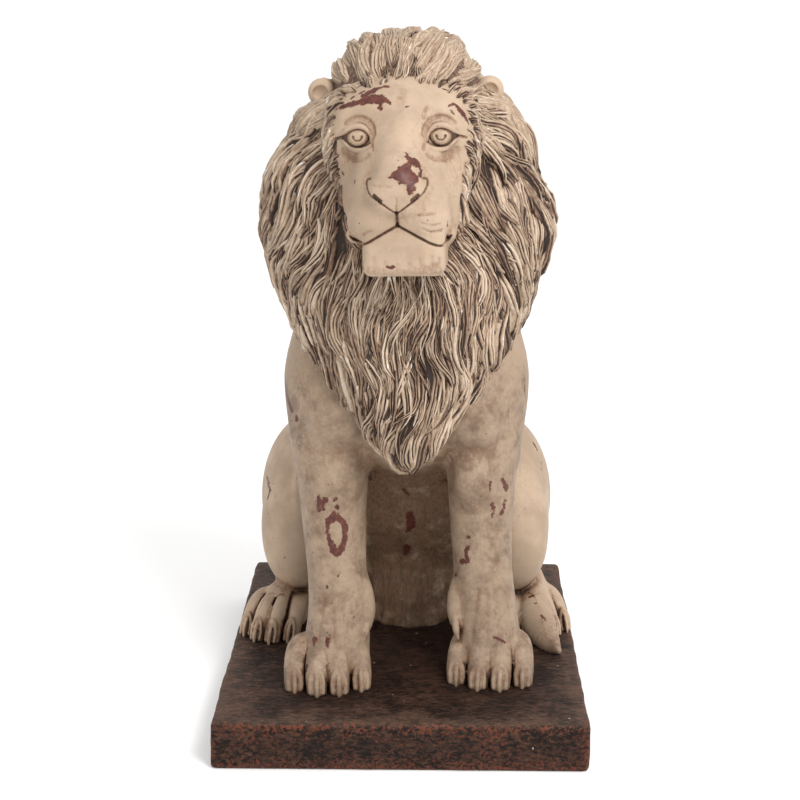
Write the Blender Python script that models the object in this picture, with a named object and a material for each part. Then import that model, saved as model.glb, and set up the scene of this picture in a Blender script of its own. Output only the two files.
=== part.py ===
"""A seated lion cast in one piece, resting on a separate square-edged plinth. Metres, +Z up.

The origin is the middle of the plinth's underside, and the lion faces -Y.
The plinth is written in real sizes. The lion is a free form: its places are millimetres on a clay
model 563 mm tall, measured from the middle of its footprint, and LION_HEIGHT scales them all.
Lumps of clay are joined by voxel remeshing and softened, broad forms first and carving last.
"""

import math

import bmesh
import bpy
from mathutils import Euler, Matrix, Vector, noise
from mathutils.bvhtree import BVHTree

# Driving sizes
PLINTH_WIDTH = 0.320
PLINTH_DEPTH = 0.400
PLINTH_HEIGHT = 0.042
PLINTH_ROUNDING = 0.005
LION_HEIGHT = 0.563
LION_OFFSET_X = 0.003
SEAT_GAP = 0.0003

# The clay model that the lion's places are measured on, in millimetres
CLAY_HEIGHT = 563.0
MM = LION_HEIGHT / CLAY_HEIGHT

# How finely the clay is joined, and how often its creases are softened
BROAD_VOXEL = 4.0
FACE_VOXEL = 2.0
CARVED_VOXEL = 2.2
LION_TRIANGLES = 9200
FACE_CARE = 20.0


def clear_scene():
    for obj in list(bpy.data.objects):
        bpy.data.objects.remove(obj, do_unlink=True)


def material(name, colour, roughness):
    made = bpy.data.materials.new(name)
    made.use_nodes = True
    shader = made.node_tree.nodes["Principled BSDF"]
    shader.inputs["Base Color"].default_value = (*colour, 1.0)
    shader.inputs["Roughness"].default_value = roughness
    made.diffuse_color = (*colour, 1.0)
    return made


def placed(centre, turn):
    angles = [math.radians(a) for a in turn]
    return Matrix.Translation(centre) @ Euler(angles).to_matrix().to_4x4()


def oval(clay, centre, radii, turn=(0, 0, 0)):
    """A lump of clay: an ellipsoid with its half sizes along X, Y and Z, turned in degrees."""
    shape = placed(centre, turn) @ Matrix.Diagonal((*radii, 1.0))
    bmesh.ops.create_icosphere(clay, subdivisions=4, radius=1.0, matrix=shape)


def slab(clay, centre, half, rounding, turn=(0, 0, 0)):
    """A block with rounded edges, from its half sizes."""
    block = bmesh.new()
    bmesh.ops.create_cube(block, size=2.0, matrix=Matrix.Diagonal((*half, 1.0)))
    bmesh.ops.bevel(block, geom=block.edges[:], offset=rounding, segments=4, profile=0.5, affect="EDGES")
    bmesh.ops.transform(block, matrix=placed(centre, turn), verts=block.verts)
    merge(clay, block)


def mirrored(spine):
    return [(-x, *rest) for x, *rest in spine]


def pair(clay, centre, radii, turn=(0, 0, 0)):
    """The same lump on both sides of the middle plane."""
    x, y, z = centre
    tip, roll, yaw = turn
    oval(clay, (x, y, z), radii, turn)
    oval(clay, (-x, y, z), radii, (tip, -roll, -yaw))


def curve_through(points, steps):
    """Points along a smooth curve through the given vectors of any length (Catmull-Rom)."""
    ends = [points[0], *points, points[-1]]
    found = []
    for a, b, c, d in zip(ends, ends[1:], ends[2:], ends[3:]):
        for i in range(steps):
            t = i / steps
            found.append(
                0.5
                * (
                    2 * b
                    + (c - a) * t
                    + (2 * a - 5 * b + 4 * c - d) * t**2
                    + (3 * b - 3 * c + d - a) * t**3
                )
            )
    return [*found, points[-1]]


def skin(clay, rings):
    """A closed skin over rings of points, with a flat face closing each end."""
    made = [[clay.verts.new(p) for p in ring] for ring in rings]
    sides = len(made[0])
    for low, high in zip(made, made[1:]):
        for i in range(sides):
            j = (i + 1) % sides
            clay.faces.new((low[i], low[j], high[j], high[i]))
    clay.faces.new(made[0][::-1])
    clay.faces.new(made[-1])


def stack(clay, levels, sides=40):
    """Ovals stacked up Z. Each level is z, middle x, half width, front y and back y."""
    rings = []
    for z, middle, half_width, front, back in curve_through([Vector(level) for level in levels], 5):
        deep = (back - front) / 2
        rings.append(
            [
                (middle + half_width * math.cos(a), (front + back) / 2 + deep * math.sin(a), z)
                for a in (2 * math.pi * k / sides for k in range(sides))
            ]
        )
    skin(clay, rings)


def limb(clay, spine, sides=14, steps=4):
    """A tapered limb with round ends. Each station is x, y, z, half width and half depth."""
    stations = curve_through([Vector(s) for s in spine], steps)
    centres = [Vector(s[:3]) for s in stations]
    ways = [
        (centres[min(i + 1, len(centres) - 1)] - centres[max(i - 1, 0)]).normalized()
        for i in range(len(centres))
    ]
    rows = [(c, w, s[3], s[4]) for c, w, s in zip(centres, ways, stations)]
    for end, sign in ((0, -1), (-1, 1)):
        c, w, wide, deep = rows[end]
        caps = [
            (c + w * sign * min(wide, deep) * math.sin(a), w, wide * math.cos(a), deep * math.cos(a))
            for a in (math.radians(d) for d in (30, 60, 85))
        ]
        rows = caps[::-1] + rows if end == 0 else rows + caps
    rings = []
    for c, along, wide, deep in rows:
        across = along.cross((0, 1, 0))
        if across.length < 0.3:
            across = Vector((1, 0, 0)) - along * along.x
        across.normalize()
        other = along.cross(across)
        rings.append(
            [
                c + across * wide * math.cos(a) + other * deep * math.sin(a)
                for a in (2 * math.pi * k / sides for k in range(sides))
            ]
        )
    skin(clay, rings)


def evaluated(clay, *modifiers, face=()):
    """The clay after the given modifiers, each a kind and its settings."""
    mesh = bpy.data.meshes.new("clay")
    clay.to_mesh(mesh)
    clay.free()
    lump = bpy.data.objects.new("clay", mesh)
    bpy.context.scene.collection.objects.link(lump)
    if face:
        care = lump.vertex_groups.new(name="coarser")
        care.add(range(len(mesh.vertices)), 1.0, "REPLACE")
        care.add(face, 0.5, "REPLACE")
    for kind, settings in modifiers:
        modifier = lump.modifiers.new(kind, kind)
        for name, value in settings.items():
            setattr(modifier, name, value)
    graph = bpy.context.evaluated_depsgraph_get()
    made = bmesh.new()
    made.from_mesh(lump.evaluated_get(graph).to_mesh())
    bpy.data.objects.remove(lump, do_unlink=True)
    bpy.data.meshes.remove(mesh)
    return made


def softened(clay, voxel, passes):
    """The lumps joined into one closed skin of clay, and its creases softened."""
    bmesh.ops.recalc_face_normals(clay, faces=clay.faces)
    return evaluated(
        clay,
        ("REMESH", {"mode": "VOXEL", "voxel_size": voxel, "adaptivity": 0.0}),
        ("SMOOTH", {"factor": 0.5, "iterations": passes}),
    )


def merge(clay, other):
    """Puts all of another lump's skin into this one."""
    mesh = bpy.data.meshes.new("moved")
    other.to_mesh(mesh)
    other.free()
    clay.from_mesh(mesh)
    bpy.data.meshes.remove(mesh)


# The trunk: z, middle x, half width, front y and back y at each level
TRUNK_LEVELS = [
    (370, 0, 84, -86, 48),
    (300, 0, 94, -86, 68),
    (250, 0, 98, -78, 88),
    (200, 0, 97, -62, 112),
    (150, 0, 97, -34, 137),
    (100, 0, 99, -8, 157),
    (60, 0, 98, 16, 165),
    (30, 0, 96, 32, 165),
    (-16, 0, 88, 40, 158),
]


def trunk():
    """The leaning trunk with its shoulders and thighs: the broad masses without carving."""
    clay = bmesh.new()
    stack(clay, TRUNK_LEVELS)
    # Breast between the forelegs, and the belly that comes down to the plinth
    oval(clay, (0, -56, 250), (70, 50, 66))
    oval(clay, (2, 60, 60), (54, 38, 90), (-10, 0, 0))
    # The broad pelvis between the thighs
    oval(clay, (0, 98, 104), (112, 66, 86), (-14, 0, 0))
    # Shoulders over the forelegs
    pair(clay, (73, -34, 246), (34, 52, 70), (-8, 4, 0))
    pair(clay, (66, -46, 214), (38, 46, 52))
    # Thighs and knees
    for side, out in ((-1, 1.0), (1, 0.95)):
        oval(clay, (side * 90 * out, 86, 112), (55, 76, 82), (-18, 0, 0))
        oval(clay, (side * 106 * out, 28, 92), (34, 38, 54), (-12, 0, 0))
    return softened(clay, BROAD_VOXEL, 40)


# The forelegs' columns: x, y, z, half width and half depth at each station
FORELEG_LEFT = [
    (-67, -46, 262, 38, 44),
    (-66, -52, 225, 36, 42),
    (-65, -62, 183, 32, 36),
    (-62, -74, 130, 29, 29),
    (-59, -84, 90, 28.5, 27),
    (-58, -92, 55, 28.5, 27),
    (-62, -98, 18, 30, 30),
]
FORELEG_RIGHT = [
    (67, -42, 262, 38, 44),
    (67, -47, 225, 35, 42),
    (67, -55, 183, 31, 36),
    (67, -65, 130, 28, 29),
    (68, -73, 90, 28.5, 27),
    (71, -79, 55, 28.5, 27),
    (74, -84, 18, 30, 30),
]

# Shins and hind feet run forward from under the thighs
SHIN = [(99, 28, 74, 25, 27), (98, 60, 42, 23, 25), (92, 110, 20, 25, 25)]
HIND_FOOT_LEFT = [
    (-94, 112, 16, 22, 20),
    (-102, 74, 18, 21, 20),
    (-112, 42, 22, 21, 20),
    (-120, 18, 22, 23, 17),
]
HIND_FOOT_RIGHT = [
    (90, 112, 16, 22, 20),
    (98, 80, 18, 21, 20),
    (108, 52, 22, 21, 19),
    (118, 32, 22, 22, 17),
]

# Each paw: the middle of its toe knuckles, the way it points in degrees, and its breadth
PAWS = {
    "fore_left": ((-66, -112, 0), 4, 1.0),
    "fore_right": ((76, -98, 0), -5, 1.0),
    "hind_left": ((-124, 6, 0), -20, 0.78),
    "hind_right": ((122, 22, 0), 22, 0.76),
}
TOE_SPREAD = 18.5
TOE_RADIUS = 10.4
TOE_SETBACK = (9.0, 0.0, 0.0, 9.0)

# The dewclaws hang inside the wrists
DEWCLAW = [
    (0, 6, 90, 4, 5),
    (2, 2, 74, 7.5, 9),
    (3, -2, 58, 7, 8),
    (0, -6, 45, 5, 5),
    (-2, -8, 36, 1.6, 2),
]

# The tail comes round the lion's left hip, over the hind foot, and ends in a tuft on the plinth
TAIL = [
    (10, 160, 34, 18, 18),
    (58, 162, 24, 15, 15),
    (94, 138, 22, 13, 13),
    (108, 96, 34, 12, 12),
    (118, 60, 40, 11.5, 11.5),
    (122, 36, 36, 11, 11),
]
TAIL_TUFT = [
    (120, 46, 37, 9, 9),
    (122, 28, 32, 13, 12),
    (122, 4, 20, 16, 13),
    (126, -18, 12, 15, 11),
    (134, -36, 6, 10, 7),
    (140, -48, 4, 3, 3),
]


def paw(clay, middle, yaw, breadth):
    """Four toes with their knuckles and claws, in front of the pad of the foot."""
    foot = bmesh.new()
    oval(foot, (0, 14, 16), (34 * breadth, 26 * breadth, 20))
    for i, setback in enumerate(TOE_SETBACK):
        x = (i - 1.5) * TOE_SPREAD * breadth
        radius = TOE_RADIUS * breadth
        toe = [
            (x * 0.66, 22 + setback, 28, radius * 0.8, radius * 0.9),
            (x * 0.92, -2 + setback, 29, radius, radius * 1.05),
            (x * 1.02, -17 + setback, 19, radius, radius * 1.05),
            (x * 1.06, -24 + setback, 7, radius * 0.86, radius * 0.9),
        ]
        limb(foot, toe, sides=12)
        claw = [
            (x * 1.03, -20 + setback, 25, 3.6, 4.2),
            (x * 1.06, -28 + setback, 18, 4.4, 4.6),
            (x * 1.08, -33 + setback, 9, 3.2, 3.6),
            (x * 1.08, -34 + setback, 1, 1.8, 2.2),
        ]
        limb(foot, claw, sides=8)
    bmesh.ops.transform(foot, matrix=placed(middle, (0, 0, yaw)), verts=foot.verts)
    merge(clay, foot)


def limbs_and_tail(clay):
    """Legs, feet and tail on the finished trunk, with short fillets where they meet it."""
    limb(clay, FORELEG_LEFT)
    limb(clay, FORELEG_RIGHT)
    limb(clay, SHIN)
    limb(clay, mirrored(SHIN))
    limb(clay, HIND_FOOT_LEFT)
    limb(clay, HIND_FOOT_RIGHT)
    limb(clay, TAIL)
    joined = softened(clay, CARVED_VOXEL, 8)
    for middle, yaw, breadth in PAWS.values():
        paw(joined, middle, yaw, breadth)
    limb(joined, [(x - 33, y - 92, z, w, d) for x, y, z, w, d in DEWCLAW], sides=8)
    limb(joined, [(43 - x, y - 84, z, w, d) for x, y, z, w, d in DEWCLAW], sides=8)
    limb(joined, TAIL_TUFT)
    return joined


# The head is modelled facing straight ahead, then turned about the neck
NECK = Vector((0.0, -20.0, 440.0))
HEAD_TILT_DEG = -1.2
HEAD_TURN_DEG = -3.0
HEAD_TURN = placed(NECK, (0, HEAD_TILT_DEG, HEAD_TURN_DEG)) @ Matrix.Translation(-NECK)

BRIDGE = [
    (0, -104, 500, 24, 22),
    (0, -128, 484, 21, 19),
    (0, -150, 468, 19, 18),
    (0, -168, 455, 19, 15),
]
BESIDE_NOSE = [(17, -118, 480, 15, 19), (19, -134, 462, 17, 21), (21, -144, 444, 19, 22)]

# Lines on the front of the face, as x and z, and for the lids their half thickness
UPPER_LID = [
    (21.5, 480, 1.8),
    (22.5, 486, 2.8),
    (27, 491.5, 3.2),
    (33.5, 493.5, 3.2),
    (40.5, 491.5, 3.2),
    (46, 486.5, 2.8),
    (52, 482.5, 1.8),
]
LOWER_LID = [
    (21.5, 480, 1.8),
    (25.5, 475.5, 2.2),
    (31, 473.2, 2.4),
    (38.5, 473.8, 2.4),
    (45.5, 478.5, 2.2),
    (51, 482, 1.6),
]
NOSTRIL = [(20.5, 444), (17, 438.5), (12, 435), (6, 430.5), (0, 428)]
MOUTH = [(0, 418), (3, 415.5), (9, 411), (17, 406), (26, 402.5), (34, 402), (41, 405)]
PHILTRUM = [(0, 430), (0, 424), (0, 418)]


def on_front(clay, line):
    """The places on the clay's front, as seen from -Y, of a line's x and z, on both sides."""
    surface = BVHTree.FromBMesh(clay)
    for side in (-1, 1):
        found = []
        for x, z, *size in line:
            hit, _, _, _ = surface.ray_cast((side * x, -400, z), (0, 1, 0))
            found.append((*hit, *size))
        yield found


def groove(clay, line, reach, deep):
    """Presses a line into the front of the clay."""
    for found in on_front(clay, line):
        points = curve_through([Vector(p) for p in found], 6)
        clay.normal_update()
        for vert in clay.verts:
            if abs(vert.co.z - points[0].z) > 40 or vert.co.y > -120:
                continue
            gap = min((vert.co - p).length for p in points) / reach
            if gap < 1:
                vert.co -= vert.normal * deep * (1 - gap * gap) ** 2


def head():
    """The face and ears, facing straight ahead, then turned on the neck."""
    clay = bmesh.new()
    # Skull, forehead, brows and the bridge of the nose
    oval(clay, (0, -70, 482), (62, 56, 50))
    oval(clay, (0, -86, 500), (58, 38, 27))
    pair(clay, (31, -107, 501), (29, 20, 14), (0, 8, 14))
    limb(clay, BRIDGE)
    # Flesh round the eyes and down beside the nose, cheekbones, cheeks and jaw
    pair(clay, (34, -111, 482), (25, 22, 19))
    limb(clay, BESIDE_NOSE)
    limb(clay, mirrored(BESIDE_NOSE))
    pair(clay, (45, -100, 464), (19, 24, 20))
    pair(clay, (38, -108, 434), (17, 30, 36))
    oval(clay, (0, -108, 404), (44, 44, 28))
    slab(clay, (0, -141, 426), (38, 35, 25), 20)
    clay = softened(clay, FACE_VOXEL, 22)
    # The muzzle's two pads and the nose
    pair(clay, (19.5, -156, 418), (23, 27, 18.5), (0, 8, 12))
    slab(clay, (0, -167, 441), (20, 21, 12), 9, (14, 0, 0))
    pair(clay, (16, -175, 443), (7.5, 11, 7.5))
    clay = softened(clay, FACE_VOXEL, 6)
    # The chin, a broad slab with a flat underside, the eyeballs and the ears
    slab(clay, (4, -144, 393), (34, 32, 20), 11, (-3, 0, 0))
    pair(clay, (33.7, -128, 483.5), (12.5, 12.5, 10.5))
    pair(clay, (73, -58, 511), (12, 8, 13), (0, 24, 16))
    clay = softened(clay, FACE_VOXEL, 1)
    groove(clay, NOSTRIL, 5, 4)
    groove(clay, MOUTH, 5, 5)
    groove(clay, PHILTRUM, 4, 5)
    for line in (UPPER_LID, LOWER_LID):
        for rim in list(on_front(clay, [(x, z, size, size) for x, z, size in line])):
            limb(clay, rim, sides=8)
    bmesh.ops.transform(clay, matrix=HEAD_TURN, verts=clay.verts)
    return clay


# The mane's mass before its locks, at levels as the trunk's, and the bib over the breast
MANE_LEVELS = [
    (557, 0, 8, -44, -30),
    (554, 0, 27, -64, -12),
    (547, 0, 42, -80, 4),
    (538, 0, 50, -92, 14),
    (526, 0, 58, -101, 24),
    (512, 2, 67, -107, 32),
    (500, 3, 80, -110, 38),
    (486, 1, 92, -110, 44),
    (472, 3, 100, -111, 50),
    (445, -3, 110, -113, 58),
    (417, 0, 120, -117, 64),
    (389, 1, 122, -123, 68),
    (361, -1, 115, -127, 72),
    (333, 0, 105, -125, 78),
    (304, 0, 96, -111, 84),
    (282, 0, 84, -95, 88),
    (255, 0, 66, -78, 84),
]
BIB = [
    (1, -70, 330, 78, 60),
    (1, -76, 304, 76, 56),
    (2, -82, 276, 62, 50),
    (2, -92, 250, 42, 38),
    (3, -106, 228, 24, 26),
    (3, -124, 211, 8, 10),
]

# The hairline round the face, and how locks of the mane are laid
FACE_CENTRE = Vector((0.0, -150.0, 447.0))
FACE_HALF_WIDTH = 58.0
FACE_HALF_HEIGHT = 72.0
FACE_BACK = -62.0
FACE_FRONT = -116.0
LOCK_STEP = 11.0
LOCK_STATIONS = 9
LOCK_SPACING = 22.0
LOCK_HALF_WIDTH = 12.0
LOCK_RISE = 9.5
MANE_LOWEST = 216.0


def mane_mass():
    """The mane without its locks: the ruff round the head, the nape and the bib."""
    clay = bmesh.new()
    stack(clay, MANE_LEVELS)
    limb(clay, BIB)
    return softened(clay, BROAD_VOXEL, 8)


def in_face(p):
    """Whether a place on the head's front lies inside the hairline."""
    straight = HEAD_TURN.inverted() @ p
    across = (straight.x - FACE_CENTRE.x) / FACE_HALF_WIDTH
    up = (straight.z - FACE_CENTRE.z) / FACE_HALF_HEIGHT
    return straight.y < FACE_BACK and across**2 + up**2 < 1


def comb(p, normal):
    """The way the hair lies at a place: away from the face, and down with the fall of the mane."""
    away = p - FACE_CENTRE
    away -= normal * away.dot(normal)
    fall = min(1.0, max(0.0, (540 - p.z) / 60)) * (0.5 + 0.9 * min(1.0, abs(p.x) / 90))
    fall += 1.2 * min(1.0, max(0.0, (p.y + 20) / 60))
    way = away.normalized() + Vector((0, 0, -1.3)) * fall
    way = Matrix.Rotation(noise.noise(p / 34.0) * 0.9, 3, normal) @ way
    way -= normal * way.dot(normal)
    return way.normalized()


# A lock's outline across: how far to the side and up, as shares of its half width and rise
LOCK_OUTLINE = ((-1, -0.7), (-0.72, 0.45), (-0.3, 1), (0.3, 1), (0.72, 0.45), (1, -0.7), (0, -1.6))


def lock(clay, surface, root, half_width, rise):
    """One lock: it leaves the mane at its root, swells, and ends in a raised tip."""
    p = root
    rings = []
    for i in range(LOCK_STATIONS):
        t = i / (LOCK_STATIONS - 1)
        place, normal, _, _ = surface.find_nearest(p)
        along = comb(place, normal)
        across = along.cross(normal)
        wide = half_width * (0.3 + 0.8 * math.sin(math.pi * (0.12 + 0.66 * t))) * (1 - 0.85 * t**4)
        high = rise * (0.35 + 0.65 * t)
        rings.append(
            [
                place + across * wide * side + normal * (high if up > 0 else rise) * up
                for side, up in LOCK_OUTLINE
            ]
        )
        p = place + along * LOCK_STEP
    skin(clay, rings)


def mane():
    """The mane's mass with its locks laid along the way that the hair is combed."""
    mass = mane_mass()
    surface = BVHTree.FromBMesh(mass)
    roots = []
    spots = sorted((v.co.copy() for v in mass.verts), key=lambda co: noise.noise(co * 7.31))
    for spot in spots:
        if spot.z < MANE_LOWEST or in_face(spot):
            continue
        if all((spot - other).length > LOCK_SPACING for other in roots):
            roots.append(spot)
    for i, root in enumerate(roots):
        share = 0.85 + 0.35 * math.sin(2.4 * i) ** 2
        lock(mass, surface, root, LOCK_HALF_WIDTH * share, LOCK_RISE * share)
    return mass


def trimmed_flat(clay, height):
    """Cuts the clay off flat at a height, where it meets the plinth, and closes the cut."""
    everything = clay.verts[:] + clay.edges[:] + clay.faces[:]
    bmesh.ops.bisect_plane(
        clay, geom=everything, plane_co=(0, 0, height), plane_no=(0, 0, 1), clear_inner=True
    )
    rim = [edge for edge in clay.edges if edge.is_boundary]
    bmesh.ops.triangle_fill(clay, edges=rim, use_beauty=True, use_dissolve=False)
    bmesh.ops.recalc_face_normals(clay, faces=clay.faces)


def lion(paint):
    clay = limbs_and_tail(trunk())
    merge(clay, mane())
    merge(clay, head())
    carved = softened(clay, CARVED_VOXEL, 1)
    faces = sum(len(face.verts) - 2 for face in carved.faces)
    face = [i for i, v in enumerate(carved.verts) if v.co.y < FACE_FRONT and in_face(v.co)]
    thinner = {"ratio": LION_TRIANGLES / faces, "vertex_group": "coarser"}
    carved = evaluated(carved, ("DECIMATE", thinner | {"vertex_group_factor": FACE_CARE}), face=face)
    stand = Matrix.Translation((LION_OFFSET_X, 0, PLINTH_HEIGHT)) @ Matrix.Scale(MM, 4)
    bmesh.ops.transform(carved, matrix=stand, verts=carved.verts)
    bmesh.ops.triangulate(carved, faces=carved.faces)
    trimmed_flat(carved, PLINTH_HEIGHT + SEAT_GAP)
    mesh = bpy.data.meshes.new("lion")
    carved.to_mesh(mesh)
    carved.free()
    obj = bpy.data.objects.new("lion", mesh)
    bpy.context.scene.collection.objects.link(obj)
    mesh.materials.append(paint)
    mesh.shade_smooth()
    return obj


def plinth(paint):
    """A plain slab with softly rounded edges, as cast."""
    half = Matrix.Diagonal((PLINTH_WIDTH, PLINTH_DEPTH, PLINTH_HEIGHT, 1.0))
    block = bmesh.new()
    bmesh.ops.create_cube(block, size=1.0, matrix=Matrix.Translation((0, 0, PLINTH_HEIGHT / 2)) @ half)
    mesh = bpy.data.meshes.new("plinth")
    block.to_mesh(mesh)
    block.free()
    obj = bpy.data.objects.new("plinth", mesh)
    bpy.context.scene.collection.objects.link(obj)
    mesh.materials.append(paint)
    rounding = obj.modifiers.new("rounded edges", "BEVEL")
    rounding.width = PLINTH_ROUNDING
    rounding.segments = 3
    rounding.limit_method = "ANGLE"
    mesh.shade_smooth()
    return obj


clear_scene()
lion(material("distressed cream paint", (0.55, 0.42, 0.31), 0.6))
plinth(material("dark brown paint", (0.035, 0.022, 0.016), 0.5))
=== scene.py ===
import math

import bpy
import numpy as np
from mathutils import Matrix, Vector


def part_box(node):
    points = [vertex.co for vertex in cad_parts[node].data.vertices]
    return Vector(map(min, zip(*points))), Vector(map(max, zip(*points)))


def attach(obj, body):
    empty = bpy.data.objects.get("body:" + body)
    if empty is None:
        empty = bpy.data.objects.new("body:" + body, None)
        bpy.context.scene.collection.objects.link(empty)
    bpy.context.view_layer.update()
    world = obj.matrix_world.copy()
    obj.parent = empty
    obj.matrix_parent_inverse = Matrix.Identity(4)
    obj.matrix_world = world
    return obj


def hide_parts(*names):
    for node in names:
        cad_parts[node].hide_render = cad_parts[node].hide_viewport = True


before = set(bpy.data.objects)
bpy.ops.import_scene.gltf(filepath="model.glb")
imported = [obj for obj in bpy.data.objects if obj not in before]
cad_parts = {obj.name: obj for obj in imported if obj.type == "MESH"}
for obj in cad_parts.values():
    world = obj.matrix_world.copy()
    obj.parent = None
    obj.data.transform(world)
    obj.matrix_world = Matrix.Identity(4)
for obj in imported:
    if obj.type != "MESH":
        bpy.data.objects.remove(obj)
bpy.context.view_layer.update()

import openvdb
from mathutils import Vector

# The camera: it stands 1.3 m in front of the lion, a little to its left and above its head,
# and looks down at it through a lens of about 78 mm on a 36 mm frame.
CAMERA_PLACE = Vector((0.0263, -1.5262, 0.6662))
CAMERA_PITCH_DEG = 14.53
CAMERA_YAW_DEG = -1.122
CAMERA_FOCAL_PIXELS = 1726.1
VIEW_PIXELS = 800

pitch, yaw = math.radians(CAMERA_PITCH_DEG), math.radians(CAMERA_YAW_DEG)
looking = Vector(
    (math.sin(yaw) * math.cos(pitch), math.cos(yaw) * math.cos(pitch), -math.sin(pitch))
)
camera = bpy.data.objects.new("camera", bpy.data.cameras.new("camera"))
camera.location = CAMERA_PLACE
camera.rotation_euler = looking.to_track_quat("-Z", "Y").to_euler()
camera.data.sensor_width = 36.0
camera.data.lens = CAMERA_FOCAL_PIXELS / VIEW_PIXELS * 36.0
bpy.context.scene.collection.objects.link(camera)
bpy.context.scene.camera = camera

# The plinth: a rectangular slab of cast resin 42 mm thick, with soft, wavy edges where the mould
# was worn. It is painted brown-black, brushed on top, and rubbed through to a red-brown at the
# edges and on the pebbled sides. The sides are also painted darker, as shade.
PLINTH_GRID = 0.0027
PLINTH_EDGE_RADIUS = 0.0045
PLINTH_WAVE = 0.0011
PLINTH_TOP_RELIEF = 0.0007
PLINTH_SIDE_INSET = 0.0006
EDGE_WEAR_WIDTH = 0.004
RIM_WIDTH = 0.030


class Value:
    """A socket in a material's nodes. Sums of values add Math nodes."""

    def __init__(self, tree, socket=None):
        self.tree = tree
        self.socket = socket

    def node(self, kind, settings, sockets, output=0):
        made = self.tree.nodes.new(kind)
        for name, setting in settings.items():
            if name == "stops":
                for i, (place, shade) in enumerate(setting):
                    stop = made.color_ramp.elements[i] if i < 2 else made.color_ramp.elements.new(place)
                    stop.position = place
                    stop.color = shade
            else:
                setattr(made, name, setting)
        for name, value in sockets.items():
            if isinstance(value, Value):
                self.tree.links.new(value.socket, made.inputs[name])
            else:
                made.inputs[name].default_value = value
        return Value(self.tree, made.outputs[output])

    def sum(self, operation, first, second):
        return self.node("ShaderNodeMath", {"operation": operation}, {0: first, 1: second})

    def __add__(self, other):
        return self.sum("ADD", self, other)

    __radd__ = __add__

    def __sub__(self, other):
        return self.sum("SUBTRACT", self, other)

    def __rsub__(self, other):
        return self.sum("SUBTRACT", other, self)

    def __mul__(self, other):
        return self.sum("MULTIPLY", self, other)

    __rmul__ = __mul__

    def from_to(self, low, high):
        """Nothing below low, all above high, and an even slope between them."""
        sockets = {"Value": self, "From Min": low, "From Max": high}
        return self.node("ShaderNodeMapRange", {"interpolation_type": "SMOOTHSTEP"}, sockets)

    def mix(self, first, second):
        """The first colour where this value is nothing, and the second where it is one."""
        settings = {"data_type": "RGBA", "clamp_factor": True}
        return self.node("ShaderNodeMix", settings, {0: self, 6: first, 7: second}, output=2)

    def noise(self, places, scale, detail=2.0, roughness=0.5, distortion=0.0):
        sockets = {"Vector": places, "Scale": scale, "Detail": detail}
        sockets |= {"Roughness": roughness, "Distortion": distortion}
        return self.node("ShaderNodeTexNoise", {}, sockets)

    def attribute(self, name, output=2):
        return self.node("ShaderNodeAttribute", {"attribute_name": name}, {}, output)


def paint(red, green, blue):
    """A paint colour, from the shade that it shows on a screen."""
    linear = [((c / 255 + 0.055) / 1.055) ** 2.4 if c > 10 else c / 3295 for c in (red, green, blue)]
    return (*linear, 1.0)


def finish_of(name):
    """A new material, its shader node, and a value to start its sums from."""
    made = bpy.data.materials.new(name)
    made.use_nodes = True
    tree = made.node_tree
    return made, tree.nodes["Principled BSDF"], Value(tree)


def feed(shader, **sockets):
    for name, value in sockets.items():
        socket = shader.inputs[name.replace("_", " ")]
        if isinstance(value, Value):
            value.tree.links.new(value.socket, socket)
        else:
            socket.default_value = value


def plinth_finish():
    made, shader, value = finish_of("worn brown-black paint")
    places = value.node("ShaderNodeTexCoord", {}, {}, output=3)
    wear = value.attribute("wear")
    side = value.attribute("side")
    rim = value.attribute("rim")
    streaks = value.node("ShaderNodeMapping", {}, {"Vector": places, "Scale": (1.0, 3.2, 2.0)})
    cloud = value.noise(places, 26.0, 5.0, 0.6)
    brushed = value.noise(streaks, 150.0, 6.0, 0.7, 0.6)
    grit = value.noise(places, 900.0, 3.0, 0.6)
    pebble = value.noise(places, 330.0, 3.0, 0.55)
    shade = (brushed * 1.15 + cloud * 0.35 - 0.25).from_to(0.40, 0.62)
    colour = shade.mix(paint(18, 10, 7), paint(78, 53, 40))
    ruddy = (value.noise(streaks, 42.0, 4.0, 0.6) + wear * 0.1).from_to(0.54, 0.68)
    colour = (ruddy * 0.3).mix(colour, paint(84, 48, 33))
    rubbed = (wear + (pebble - 0.5) * 3.6 + (cloud - 0.5) * 0.8).from_to(0.5, 0.9)
    colour = (rubbed * 0.85).mix(colour, paint(116, 58, 38))
    outline = (wear + (pebble - 0.5) * 0.8).from_to(0.80, 1.05)
    colour = (outline * 0.8).mix(colour, paint(16, 9, 7))
    dust = (grit * 0.6 + brushed * 0.5).from_to(0.62, 0.74)
    colour = (dust * 0.4).mix(colour, paint(124, 103, 88))
    worn = (rim + (cloud - 0.5) * (1.6 - side) + (brushed - 0.5) * 0.9).from_to(0.15, 0.95)
    # Darker away from the top's rim, and the sides darker still, as painted shade.
    colour = (0.5 - worn * 0.5 + side * 0.3).mix(colour, paint(20, 10, 6))
    colour = (worn * (1.0 - side) * 0.28).mix(colour, paint(104, 86, 74))
    fleck = value.noise(places, 210.0, 1.0, 0.4).from_to(0.80, 0.815)
    colour = (fleck * 0.8).mix(colour, paint(176, 160, 144))
    height = brushed * 0.5 + pebble * (side * 0.8 + 0.3) + grit * 0.15
    bump = value.node("ShaderNodeBump", {}, {"Height": height, "Strength": 0.9, "Distance": 0.0014})
    feed(shader, Base_Color=colour, Roughness=0.6 - rubbed * 0.12 + grit * 0.1, Normal=bump)
    shader.inputs["Specular IOR Level"].default_value = 0.18
    return made


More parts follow.
